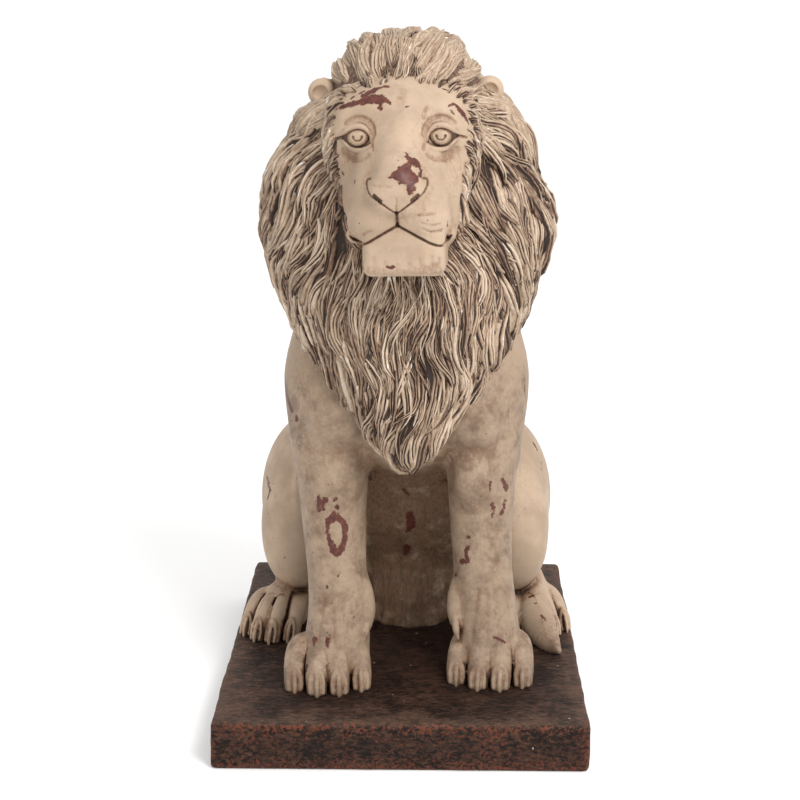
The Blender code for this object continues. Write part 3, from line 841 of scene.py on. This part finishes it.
BODY_CHIPS = [
    [(-106.7, 258.6, 1.8), (-104.5, 248.8, 2.6), (-101.4, 241.6, 3.5), (-99.4, 238, 2.6)],
    [(-94.6, 232.6, 2.6)],
    [(102.7, 263.7, 1.3), (104, 247.8, 1.3)],
    [(59.7, 237.5, 1.3)],
    [(-135.3, 137.1, 1.4), (-130.1, 132.4, 1.9), (-131.7, 125.9, 1.9)],
    [(-126.1, 138.6, 1.1)],
    [(-123.2, 131, 1.4)],
    [(120.7, 167.7, 1.9), (123.5, 162.4, 1.4)],
    [(127.3, 152, 1), (126.9, 146.3, 1.1)],
    [(-75.1, 168.1, 1.3), (-75.2, 154.7, 1.7)],
    [(-69, 165.5, 2.4), (-73, 160.5, 2.6), (-71, 155.5, 1.6)],
    [(-61.1, 166.1, 2.2)],
    [(-59.4, 158.2, 2.2)],
    [(-60.3, 152, 2.6)],
    [
        (-67.2, 146.6, 2.6), (-67.2, 135.9, 1.9), (-64.5, 124.7, 3.0), (-59.3, 117.9, 3.6),
        (-54.2, 124.6, 2.4), (-52.5, 134.8, 2.6), (-55.1, 145.5, 2.8), (-61.1, 148.3, 3.4),
        (-67.2, 146.6, 2.6),
    ],
    [(-88.9, 118.5, 1.2), (-87.9, 113.9, 0.9)],
    [(-85.6, 130.2, 0.9)],
    [(-68.2, 88.3, 1.3)],
    [(-64.6, 74.1, 0.9)],
    [(-45.5, 82.8, 0.9)],
    [(73.4, 180.5, 1.3), (72.7, 172, 1.6)],
    [(75.4, 160, 1.5), (76.6, 152, 1.7), (75.6, 147.1, 1.3)],
    [(83.9, 180.5, 1.6), (88.2, 170, 2.4)],
    [(87.5, 163, 1.4), (86.5, 157, 1.7), (83.6, 148.4, 2.2)],
    [(55.7, 127.8, 1.8)],
    [(49.7, 104.5, 2.7), (54.9, 108.3, 2.6), (53.2, 115, 2.2), (56.6, 120.9, 1.3)],
    [(44.6, 90.2, 1.8)],
    [(-2.3, 153.1, 2.3), (0.4, 148.6, 1.8)],
    [(3, 125, 3.7), (3.8, 113.5, 4.6), (1, 106.5, 2.8)],
    [(-0.1, 84.6, 3.8), (-2.1, 75, 2.8)],
    [(-78.8, 41.8, 2.2), (-79.4, 37.7, 1.3)],
    [(-67.1, 44.2, 2.2), (-67.9, 38.2, 1.3)],
    [(-84.8, 22.3, 1.6), (-85.7, 17.7, 1.3)],
    [(-67.5, 21.9, 1.6)],
    [(78.2, 42, 0.9), (87.8, 36.2, 0.9)],
    [(116.1, 35.1, 1.1), (118.9, 36, 1)],
    [(120.4, 32.1, 1.1)],
    [(125.2, 25.7, 1.4), (128.6, 23.9, 1.1)],
]


def in_feet(points, grow=0.0):
    """Which places belong to the feet and the tail's end, which are read off a finer grid."""
    top = np.where(points[:, 1] < WRIST_BACK + grow, WRIST_TOP, FEET_TOP)
    return (points[:, 2] < top + grow) & (points[:, 1] < FEET_BACK + grow)


def seen_beside(clay, points, depth):
    """Which places don't lie deeper than this in another form."""
    high = clay.low + np.float32(clay.field.shape) * clay.step
    beyond = ((points < clay.low + clay.step) | (points > high - 2 * clay.step)).any(axis=1)
    return beyond | (clay.distance(points) > depth)


body = Clay(BODY_LOW, BODY_HIGH, BODY_STEP)
trunk(body)
feet_and_tail(body)
cut_flat(body)
feet = Clay(BODY_LOW, (BODY_HIGH[0], FEET_BACK + 6, WRIST_TOP + 6), FEET_STEP)
trunk(feet)
between_toes = feet_and_tail(feet)
cut_flat(feet)
skin = lion_finish("distressed cream paint")


def beside_mane(places):
    """Which places belong to the body's own piece, with a few millimetres inside the others."""
    return ~in_feet(places, -6) & seen_beside(mass, places, -5)


cast("body", body, skin, beside_mane, BODY_CHIPS, dulled=glaze_and_painted_shade)
cast(
    "feet_and_tail",
    feet,
    skin,
    in_feet,
    BODY_CHIPS,
    reaches=(2.0, 5.0, 14.0),
    dulled=glaze_and_painted_shade,
    lined=between_toes,
)

# The head is part of the same casting. It was modelled facing straight ahead and then turned a
# little to its right: broad flat nose, deep lids, two pads of whiskers over a square chin.
HEAD_LOW, HEAD_HIGH = (-92.0, -205.0, 350.0), (92.0, -20.0, 546.0)
HEAD_STEP = 0.92
NECK = np.array((0.0, -20.0, 440.0))
HEAD_TURN = turned((0, -1.2, -3.0))
HEAD_SHIFT = np.array((2.4, 0.0, -1.2))
BRIDGE = [
    (0, -104, 500, 23, 22),
    (0, -128, 484, 20, 19),
    (0, -150, 466, 18, 18),
    (0, -169, 452, 18, 14),
]
BESIDE_NOSE = [(17, -118, 480, 14, 18), (19, -134, 462, 16, 20), (21, -144, 444, 18, 22)]
UPPER_LID = [
    (21.6, 477.5, 1.1, 0.5),
    (23.0, 484.2, 1.7, 1.2),
    (27.4, 489.6, 2.3, 2.4),
    (33.2, 491.4, 2.6, 2.9),
    (38.8, 490.2, 2.5, 2.6),
    (43.6, 486.9, 2.1, 1.8),
    (48.4, 483.5, 1.5, 1.0),
    (53.5, 481.4, 0.8, 0.2),
]
LOWER_LID = [
    (22.0, 477.5, 1.0, 0.4),
    (25.6, 474.6, 1.7, 1.1),
    (31.6, 472.4, 2.2, 1.6),
    (38.0, 473.4, 2.2, 1.6),
    (43.0, 477.6, 1.7, 1.0),
    (47.5, 481.4, 1.0, 0.3),
]
MOUTH = [
    (0, 417), (3.5, 415), (9, 412), (17, 407.4), (25, 402.8), (32.5, 400.4), (37.5, 401), (41, 404),
]
PHILTRUM = [(0, 429), (0, 424), (0, 417)]
NOSE_EDGE = [
    (20.5, 453.5), (23.4, 452.5), (23.8, 448.5), (21.4, 443.5),
    (17, 439.5), (10, 434.5), (4, 430), (0, 427.5),
]
NOSE_TOP = [(-19.5, 450), (-12, 449), (-4, 448.4)]
NOSTRIL = [(17.0, 442.0), (14.8, 439.6), (12.4, 437.8)]
NOSE_CREASE = [(0, 440), (0, 434), (0, 428)]
LID_CREASE = [(19.5, 485), (21.2, 491), (25, 495.6), (32, 497.8), (39, 496.6), (44.5, 492.5)]
BAG_CREASE = [(24, 470), (28.5, 467), (34.5, 465.5), (41, 467), (46.5, 471.5)]
OUTER_CORNER = [(43.5, 483.0), (48, 481.8), (54, 480)]
INNER_CORNER = [(23.5, 480.5), (21.0, 477.5), (20.0, 474)]
FOREHEAD_CREASE = [(1.5, 519), (0.5, 511), (0, 503)]
BROW_CREASE = [(22, 505), (20, 501), (19.5, 497)]
WHISKER_CREASES = [
    [(17, 425.5), (23, 426), (30, 426.2)],
    [(19, 419.5), (26, 417.3), (34, 418)],
    [(20, 414.5), (27, 411.8), (35, 412.6)],
]
CHIN_STRANDS = [
    (-29, 389), (-25, 384), (-20, 391), (-16, 383), (-11, 388), (-6, 382), (-1, 386), (4, 381),
    (9, 387), (13, 383), (18, 390), (22, 384), (27, 392), (31, 386), (34, 391),
]
PAD_CREASE = [(-21, 413), (-25, 411.5), (-28, 409)]
EYE_PLACE = np.array((33.4, -127.5, 482.6))
EYE_HALF = (13.3, 11.7, 11.0)
PUPIL_ARC = [(-3.6, 0.8), (-3.2, -1.0), (-1.6, -2.4), (1.0, -2.6), (3.0, -1.2), (3.6, 0.8)]
FACE_CHIPS = [
    [(-53.4, 514.3, 1), (-47.4, 512, 2.6), (-44.6, 518.4, 1.4)],
    [
        (-49.5, 505.1, 1.7), (-40.7, 507.6, 2.6), (-30.9, 510, 3.2), (-20.2, 512.2, 4.8),
        (-11.8, 511, 2.8), (-7.3, 509.1, 0.8),
    ],
    [(-30, 514.3, 2.3), (-22.9, 517.6, 3), (-15.9, 520.3, 2.3), (-9.7, 520.8, 1.1)],
    [(-35.7, 520, 0.9), (-29.7, 522.2, 1.5), (-22.3, 524.5, 0.9)],
    [(-54.9, 501.1, 0.4), (-52.1, 504.4, 0.9), (-48.3, 507.9, 1.4)],
    [(-39.7, 512, 1), (-34.9, 514.8, 1), (-29, 517.5, 0.9)],
    [(-14.9, 505.2, 2.3)],
    [(4.3, 505.3, 0.5), (6.9, 506.7, 0.6)],
    [(34.7, 517.8, 0.8), (41.1, 516, 0.7)],
    [(40.2, 505.8, 1), (44.2, 506.6, 1.2), (48.8, 501.1, 1.7), (52.3, 495.8, 1.7), (55.1, 490.8, 1.2)],
    [(42, 501.2, 0.7), (43.7, 499, 0.5)],
    [(7.8, 469.7, 2.6), (11.2, 466.7, 4.1), (15.5, 465, 3.3), (18.3, 460.4, 1.6)],
    [(9.3, 461.9, 5.2), (5, 459.2, 4.8), (-0.6, 457.2, 3.2), (-5.2, 455.8, 0.9)],
    [(13.8, 456.2, 5.2), (9.5, 454.6, 4.6), (5, 453.8, 3.5)],
    [(11.8, 451.3, 3.5), (11.9, 447, 3.4), (10.7, 442.7, 1.4)],
    [(18.9, 459.3, 0.9), (18.2, 455.4, 1.6)],
    [(6.3, 467.8, -2.1)],
    [(13.1, 461.3, -2.4), (15.2, 458.4, -1.4)],
    [(4.2, 476.7, 0.3)],
    [(5.6, 474.1, 0.5), (8.8, 472.2, 0.7)],
    [(8.6, 475.8, 0.3)],
    [(11.2, 479, 0.4)],
    [(-3.1, 467.7, 0.3)],
    [(1.2, 467.9, 0.5)],
    [(-48.2, 454.7, 0.6), (-46.4, 452.4, 0.6)],
    [(-34.7, 450.3, 0.9), (-35.3, 447.5, 0.7)],
    [(38.9, 417.9, 0.5), (38.8, 414.3, 0.6)],
    [(-8.1, 383.9, 1.2), (-4, 384.1, 1.2)],
]


def head(clay):
    """The face and ears, facing straight ahead."""
    clay.oval((0, -70, 482), (61, 56, 50), blend=4)
    clay.oval((0, -86, 500), (57, 38, 27), blend=14)
    clay.pair(clay.oval, (29, -106, 502), (26, 20, 13), turn=(0, 8, 14), blend=14)
    clay.limb(BRIDGE, blend=12)
    clay.pair(clay.oval, (34, -110, 482), (25, 22, 19), blend=12)
    clay.pair(clay.limb, BESIDE_NOSE, blend=10)
    clay.pair(clay.oval, (43, -100, 463), (17, 24, 20), blend=14)
    clay.pair(clay.oval, (34, -108, 434), (16, 30, 36), blend=16)
    clay.oval((2, -108, 402), (40, 42, 26), blend=14)
    clay.slab((0, -140, 426), (35, 34, 25), 20, blend=12)
    clay.pair(clay.oval, (19, -153, 419), (22.5, 26, 18), turn=(0, 10, 14), blend=9)
    clay.slab((0, -164, 441), (18, 20, 12), 9, turn=(14, 0, 0), blend=10)
    clay.pair(clay.oval, (16, -171, 444), (6.0, 12, 7), blend=6)
    clay.oval((0, -174, 434), (9, 8, 8), blend=6)
    clay.slab((4, -143, 394), (33, 32, 20), 7.5, turn=(-3, 0, 0), blend=3)
    clay.oval((3, -160, 402), (24, 14, 8), blend=8)
    clay.pair(clay.oval, (37, -134, 404), (6.5, 10, 7.5), turn=(0, 20, 30), blend=5)
    clay.pair(clay.oval, (38, -146, 401.5), (3.0, 7, 2.6), turn=(0, 25, 30), blend=1.5, cut=True)
    grooves(clay, FOREHEAD_CREASE, 0.9, 0.35, sides=(1,), blend=3)
    clay.pair(clay.oval, (33.2, -142, 482.6), (11.6, 9, 9.4), blend=5, cut=True)
    clay.pair(clay.oval, EYE_PLACE, (13.2, 10.4, 10.6), blend=0.4)
    grooves(clay, LID_CREASE, 0.8, 0.7, blend=2.5)
    grooves(clay, BAG_CREASE, 0.9, 0.5, blend=3)
    grooves(clay, INNER_CORNER, 0.9, 1.0, blend=1.2)
    for lid in (UPPER_LID, LOWER_LID):
        x, z, size, proud = np.array(lid, float).T
        for side in (-1, 1):
            rim = clay.front(side * x, z)
            rim[:, 1] -= proud
            clay.limb(np.column_stack([rim, size, size]), blend=1.0)
    grooves(clay, BROW_CREASE, 0.8, 0.8, sides=(1,), blend=1.5)
    grooves(clay, NOSE_EDGE, 0.6, 1.4, blend=0.8)
    grooves(clay, NOSE_TOP, 0.6, 0.5, sides=(1,), blend=1.0)
    grooves(clay, NOSTRIL, 1.3, 3.2, blend=0.8)
    grooves(clay, NOSE_CREASE, 0.6, 0.7, sides=(1,))
    grooves(clay, OUTER_CORNER, 0.8, 1.3)
    grooves(clay, MOUTH, 0.8, 1.7, blend=1.0)
    grooves(clay, PHILTRUM, 0.8, 1.7, sides=(1,), blend=1.0)
    for x, top in CHIN_STRANDS:
        grooves(clay, [(x, 377.5), (x * 0.99, (377 + top) / 2), (x * 0.97, top)], 0.7, 0.35, (1,), 2.2)
    for line in WHISKER_CREASES:
        grooves(clay, line, 0.7, 0.9, sides=(1,))
    grooves(clay, PAD_CREASE, 0.8, 1.0, sides=(1,))
    clay.pair(clay.oval, (71, -56, 513), (12, 8, 11.5), turn=(0, 24, 16), blend=2)
    clay.pair(clay.oval, (71.5, -64, 512), (7.5, 5, 7), turn=(0, 24, 16), blend=2, cut=True)


def eyes(rings=56, spokes=112):
    """The fronts of the eyeballs, each with a pupil carved as a smiling arc between two drillings."""
    out, angle = np.meshgrid(
        np.linspace(0.01, 1, rings), np.linspace(0, 2 * np.pi, spokes, endpoint=False), indexing="ij"
    )
    x, z = out * np.cos(angle) * 12.2, out * np.sin(angle) * 10.0
    line = curve_through(np.array(PUPIL_ARC), 6)
    off = np.sqrt((x[..., None] - line[:, 0]) ** 2 + (z[..., None] - line[:, 1]) ** 2)
    carved = np.exp(-((off.min(axis=-1) / 0.75) ** 2))
    drilled = sum(np.exp(-(((x - a) ** 2 + (z - 0.4) ** 2) / 1.1**2)) for a in (-3.6, 3.6))
    iris = np.exp(-(((np.sqrt(x * x + (z + 0.2) ** 2) - 6.9) / 0.55) ** 2))
    hollow = np.clip(carved + drilled, 0, 1)
    deep = EYE_HALF[1] * np.sqrt(1 - (x / EYE_HALF[0]) ** 2 - (z / EYE_HALF[2]) ** 2)
    deep = deep + 0.15 - hollow - iris * 0.18
    points, faces, wash = [], [], []
    at = np.arange(rings * spokes).reshape(rings, spokes)
    at = np.hstack([at, at[:, :1]])
    for i, side in enumerate((-1, 1)):
        ball = np.stack([x, -deep, z], axis=-1) + EYE_PLACE * (side, 1, 1)
        points.append(turned_head(ball.reshape(-1, 3)))
        faces.append(quads_between(at) + i * rings * spokes)
        # Painted shade: the upper part of each ball is darkened as the upper lid's shadow, and the dark
        # ring where the ball meets the lids is partly glaze in that crease and partly painted shade.
        shade = np.exp(-(8.9 - np.hypot(x, z * 1.16)) / 1.5) + np.clip((z - 2.5) / 6, 0, 1) * 0.7
        wash.append((hollow * 0.7 + iris * 0.2 + np.clip(shade, 0, 1)).ravel())
    points, wash = np.vstack(points), np.concatenate(wash)
    lion_piece("eyes", points, np.vstack(faces), skin, wash=wash, chip=np.full(len(points), BARE))


def straight(points):
    """Places of the head before it was turned on the neck."""
    return (points - NECK - HEAD_SHIFT) @ HEAD_TURN + NECK


def turned_head(points):
    """Places of the straight head, turned on the neck."""
    return (points - NECK) @ HEAD_TURN.T + NECK + HEAD_SHIFT


# The mane: long wavy locks, carved in many fine strands, comb back from the face over the crown
# and down over the shoulders, and end in points. It is cast with the head and has the darkest glaze,
# with painted shade in the gaps between the locks.
FACE_CENTRE = np.array((0.0, -150.0, 447.0))
FACE_BOX_MIDDLE, FACE_BOX_HALF = (0, -110, 450), (74, 96, 74)
CROWN_ABOVE, CROWN_GLAZE = 500, 0.2
BEARD_HALF = 38
NAPE_BEHIND = -20
# Height, middle and half width of the bare face at each level.
HAIRLINE = [
    (366, 4, 0),
    (373, 4, 30),
    (385, 4, 36),
    (398, 3, 39),
    (412, 0, 40),
    (428, 0, 40),
    (442, 0, 42),
    (456, 0, 46),
    (470, 0, 52),
    (484, 0, 56),
    (496, 0, 56),
    (507, 0, 51),
    (516, 0, 40),
    (521, 0, 22),
    (525, 0, 0),
]
MUZZLE_BACK = -122.0
MANE_CHIPS = [
    [(-43.5, 549.8, 1.7), (-37.8, 552.9, 2.2), (-30.9, 552.6, 1.7)],
    [(32.9, 549.6, 1)],
    [(40.3, 548.5, 1)],
    [(36.1, 546.7, 0.8)],
]
MANE_LOWEST = 214.0


def outside_face(places, inside=0.0):
    """Which places lie outside the hairline, or less than so far inside it."""
    seen = straight(places)
    level, middle, half = np.array(HAIRLINE, float).T
    across = np.abs(seen[:, 0] - np.interp(seen[:, 2], level, middle))
    muzzle = (np.abs(seen[:, 0]) < 48) & (seen[:, 1] < MUZZLE_BACK) & (seen[:, 2] > 375)
    hairy = (seen[:, 1] > -62) | (across > np.interp(seen[:, 2], level, half, 0, 0) - inside)
    return hairy & ~muzzle


def comb(places, out):
    """The way the hair lies: away from the face, and down with the fall of the mane."""
    away = places - FACE_CENTRE
    away -= out * (away * out).sum(axis=1, keepdims=True)
    away /= np.linalg.norm(away, axis=1, keepdims=True)
    x, y, z = places.T
    fall = np.clip((540 - z) / 60, 0, 1) * (0.5 + 0.9 * np.clip(np.abs(x) / 90, 0, 1))
    fall += 1.2 * np.clip((y + 20) / 60, 0, 1)
    way = away + np.outer(1.3 * fall, (0, 0, -1))
    way[:, 0] -= np.clip((330 - z) / 90, 0, 1) * x / 55 * (y < 0)
    turn = 0.34 * np.sin(z / 15 + x / 31 + 1.7 * np.sin(y / 33 + x / 49))
    turn = turn + 0.16 * np.sin(x / 12 + y / 17)
    way = way + np.cross(out, way) * turn[:, None]
    way -= out * (way * out).sum(axis=1, keepdims=True)
    return way / np.linalg.norm(way, axis=1, keepdims=True)


def spread(points, apart, seed):
    """Points of these that lie about evenly apart."""
    order = np.random.default_rng(seed).permutation(len(points))
    cells, chosen = {}, []
    for spot in points[order]:
        key = tuple((spot // apart).astype(int))
        around = [
            other
            for i in (-1, 0, 1)
            for j in (-1, 0, 1)
            for k in (-1, 0, 1)
            for other in cells.get((key[0] + i, key[1] + j, key[2] + k), [])
        ]
        if all(((spot - other) ** 2).sum() > apart * apart for other in around):
            cells.setdefault(key, []).append(spot)
            chosen.append(spot)
    return np.array(chosen)


def locks_from(form, roots, step, half_width, rise, strands, seed, stations, glaze):
    """Points, faces, glaze and combing of one lock of hair from each root."""
    rng = np.random.default_rng(seed)
    count = len(roots)
    size = rng.uniform(0.8, 1.25, count)
    stray = rng.normal(0, 0.13, count)
    curl = rng.uniform(0, 6.28, count)
    place = roots.copy()
    rows, ways, outs = [], [], []
    for i in range(stations):
        out = form.facing(place)
        place = place - out * form.distance(place)[:, None]
        way = comb(place, out)
        bend = stray + 0.22 * np.sin(i / stations * 7 + curl)
        way = way * np.cos(bend)[:, None] + np.cross(out, way) * np.sin(bend)[:, None]
        rows.append(place)
        ways.append(way)
        outs.append(out)
        place = place + way * (step * size)[:, None]
    rows, ways, outs = np.stack(rows, 1), np.stack(ways, 1), np.stack(outs, 1)
    hops = np.linalg.norm(np.diff(rows, axis=1), axis=-1).max(axis=1)
    turns = (outs[:, 1:] * outs[:, :-1]).sum(axis=-1).min(axis=1)
    even = (hops < step * size * 1.35) & (turns > 0.55)
    rows, ways, outs, size, count = rows[even], ways[even], outs[even], size[even], even.sum()
    t = np.linspace(0, 1, stations)[None, :, None]
    size = size[:, None, None]
    shares = np.cumsum(rng.uniform(0.35, 1.65, (count, strands)), axis=1)
    valleys = np.hstack([np.zeros((count, 1)), shares / shares[:, -1:]]) * 2 - 1
    wide_of = np.diff(valleys, axis=1)
    valley = valleys[:, :-1]
    u = np.stack([valley, valley + wide_of * 0.3, valley + wide_of * 0.7], -1)
    u = np.hstack([u.reshape(count, -1), valleys[:, -1:]])[:, None, :]
    inside = np.tile([0.0, 1.0, 1.0], strands)
    inside = np.append(inside, 0.0)[None, None, :]
    own = np.minimum(np.arange(u.shape[-1]) // 3, strands - 1)
    level = rng.uniform(-1.5, 1.5, (count, strands))[:, None, own]
    end = rng.uniform(0.68, 1.05, (count, strands))[:, None, own]
    start = rng.uniform(-0.3, 0.25, (count, strands))[:, None, own]
    ending = np.clip((t - end) / 0.14, 0, 1) + np.clip((start - t) / 0.14, 0, 1)
    ending = ending * ending * (3 - 2 * np.minimum(ending, 1))
    phase, lean = rng.uniform(0, 6.28, (2, count, 1, 1))
    taper = (1 - t**2.6) * (0.42 + 0.68 * np.sin(np.pi * (0.1 + 0.62 * t)))
    wide = half_width * size * (taper + 0.03)
    drift = 0.1 * np.sin(t * 6 + phase + own * 0.7) * (1 - u * u)
    dome = np.sqrt(np.maximum(1 - u * u, 0))
    carve = np.minimum(1, wide / (half_width * 0.5)) * np.clip(t * 5, 0, 1)
    high = dome * (1.6 + rise * (0.1 + 0.9 * t) * (1 - 0.7 * t**6) * (1 + 0.55 * np.sin(lean)))
    high = high + (inside - 0.75) * 2.5 * carve + level * inside * carve - ending * 1.8 * inside
    high = high - 4.5 * np.abs(u) ** 4 - 4.0 * np.clip(1 - t * step * stations / 9, 0, 1) ** 2
    high = high + 0.5 * np.sin(t * 13 + phase)
    across = np.cross(ways, outs)
    points = (
        rows[:, :, None]
        + across[:, :, None] * ((u + drift) * wide)[..., None]
        + outs[:, :, None] * high[..., None]
    )
    points = points + outs[:, :, None] * (waves(points, 5.0, seed) * 0.45)[..., None]
    points = points + across[:, :, None] * (waves(points, 8.0, seed + 3) * 0.5)[..., None]
    mood = rng.uniform(-0.12, 0.4, (count, 1, 1))
    wash = 1 - inside + ending * 0.3 + np.clip(1 - t * 4, 0, 1) * 0.4 + mood - level * 0.14
    wash = wash * glaze
    wash = np.broadcast_to(wash, high.shape)
    length = step * stations
    lock = np.arange(count)[:, None, None] * 3.7 + 0 * t
    combing = np.stack(np.broadcast_arrays(u * wide, t * length * 0.11, lock), -1)
    sides = u.shape[-1]
    at = np.arange(count * stations * sides).reshape(count, stations, sides)
    faces = np.stack([at[:, :-1, :-1], at[:, :-1, 1:], at[:, 1:, 1:], at[:, 1:, :-1]], -1)
    return points, faces, wash, combing


def locks_piece(
    name, roots, seed, step=5.6, half_width=5.8, rise=6.0, strands=4, stations=12, glaze=1.0, form=None
):
    """A piece of the mane: one lock from each root, lying on the mane's mass or on another form."""
    made = locks_from(form or mass, roots, step, half_width, rise, strands, seed, stations, glaze)
    points, faces, wash, combing = made
    points = points.reshape(-1, 3)
    lion_piece(
        name,
        points,
        faces.reshape(-1, 4),
        hair,
        wash=wash.ravel(),
        chip=bareness(points, mass, MANE_CHIPS),
        comb=combing.reshape(-1, 3),
    )


# The glaze inside a lid follows its line, drawn in towards the eye's middle.
LID_SHARE = np.array([[0.9], [0.78]])

face = Clay(HEAD_LOW, HEAD_HIGH, HEAD_STEP)
head(face)
glaze_lines = [[(x, z, 0.2) for x, z in line] for line in (PHILTRUM, NOSE_CREASE[1:])]
for side in (-1, 1):
    for line in (MOUTH, NOSE_EDGE):
        glaze_lines.append([(side * x, z, 0.2) for x, z in line])
    for lid in (UPPER_LID, LOWER_LID):
        x, z = EYE_PLACE[[0, 2], None] + (np.array(lid).T[:2] - EYE_PLACE[[0, 2], None]) * LID_SHARE
        glaze_lines.append(np.column_stack([side * x, z, np.full_like(x, 0.5)]))
cast(
    "head",
    face,
    skin,
    lambda p: seen_beside(mass, turned_head(p), -4.5),
    FACE_CHIPS,
    reaches=(1.8, 4.5, 11.0),
    turn=turned_head,
    lined=glaze_lines,
)
eyes()
hair = lion_finish("glazed mane", hair=True)
_, places = mass.near(mass.low, mass.low + np.float32(mass.field.shape) * MANE_STEP)
near_face = (np.abs(places - FACE_BOX_MIDDLE) < FACE_BOX_HALF).all(axis=-1)
scalp = mass.field.copy()
scalp[near_face] = np.minimum(scalp[near_face], face.distance(straight(places[near_face])))
points, faces = mass.surface()
throat_form = Clay(MANE_LOW, MANE_HIGH, MANE_STEP)
throat_form.field = mass.field
mass.field = scalp
used, faces = kept(points, faces, outside_face(points, 8))
points = points[used]
# The mass shows only in the gaps between the locks. It is painted dark there as their shade, less dark
# on the crown.
lion_piece(
    "mane_under",
    points,
    faces,
    hair,
    wash=np.where(points[:, 2] > CROWN_ABOVE, 0.45, 0.72),
    chip=np.full(len(points), BARE),
    comb=points * (0.7, 0.7, 0.07),
)

spots, _ = mass.surface()
edge = outside_face(spots, 5) & ~outside_face(spots, -6) & (spots[:, 2] > 352)
edge = spread(spots[edge], 4.6, 4)
spots = spots[(spots[:, 2] > MANE_LOWEST) & outside_face(spots)]
behind = spots[:, 1] > NAPE_BEHIND
nape = spread(spots[behind & (spots[:, 2] <= CROWN_ABOVE)], 11.5, 6)
roots = spread(spots[~behind | (spots[:, 2] > CROWN_ABOVE)], 8.8, 5)
across, crown = roots[:, 0], roots[:, 2] > CROWN_ABOVE
groups = {
    "mane_crown": crown,
    "mane_left": ~crown & (across < -BEARD_HALF),
    "mane_right": ~crown & (across > BEARD_HALF),
    "mane_beard": ~crown & (np.abs(across) <= BEARD_HALF),
}
for seed, (name, chosen) in enumerate(groups.items(), 10):
    locks_piece(name, roots[chosen], seed, glaze=CROWN_GLAZE if name == "mane_crown" else 1.0)
throat, _ = throat_form.surface()
below_chin = (np.abs(throat[:, 0] - 3) < 46) & (np.abs(throat[:, 2] - 362) < 32)
throat = spread(throat[below_chin & (throat[:, 1] < -85)], 5.4, 8)
locks_piece("mane_throat", throat, 22, step=4.4, half_width=3.9, rise=2.5, strands=3, form=throat_form)
locks_piece("mane_nape", nape, 20, step=7.0, half_width=7.6, strands=3, stations=11)
hem = spread(spots[behind & (np.abs(spots[:, 2] - 280) < 20)], 8.5, 7)
locks_piece("mane_hem", hem, 23, step=5.2, half_width=6.4, rise=3.5, strands=3, stations=7)
locks_piece("mane_edge", edge, 21, step=3.2, half_width=2.6, rise=2.2, strands=3, stations=9)

# The room: a pale floor, white light from all round, and one soft lamp high at the front, to the
# right as the camera sees it.
FLOOR_HALF = 6.0

floor_paint, floor_shader, _ = finish_of("white studio floor")
feed(floor_shader, Base_Color=paint(252, 252, 251), Roughness=0.7)
corners = [(-FLOOR_HALF, -FLOOR_HALF, 0), (FLOOR_HALF, -FLOOR_HALF, 0)]
corners += [(FLOOR_HALF, FLOOR_HALF, 0), (-FLOOR_HALF, FLOOR_HALF, 0)]
floor = piece_from("floor", corners, [(0, 1, 2, 3)], floor_paint)
world = bpy.data.worlds.new("white room")
bpy.context.scene.world = world
world.use_nodes = True
world.node_tree.nodes["Background"].inputs["Color"].default_value = (1.0, 1.0, 1.0, 1.0)
world.node_tree.nodes["Background"].inputs["Strength"].default_value = 1.04
bpy.context.scene.view_settings.view_transform = "Standard"


def lamp(name, place, power, size, aim=(0.0, 0.0, 0.3)):
    light = bpy.data.lights.new(name, "AREA")
    light.energy = power
    light.size = size
    made = bpy.data.objects.new(name, light)
    made.location = place
    made.rotation_euler = (Vector(aim) - Vector(place)).to_track_quat("-Z", "Y").to_euler()
    bpy.context.scene.collection.objects.link(made)


lamp("key", (0.8, -1.25, 1.7), 29.0, 0.7)
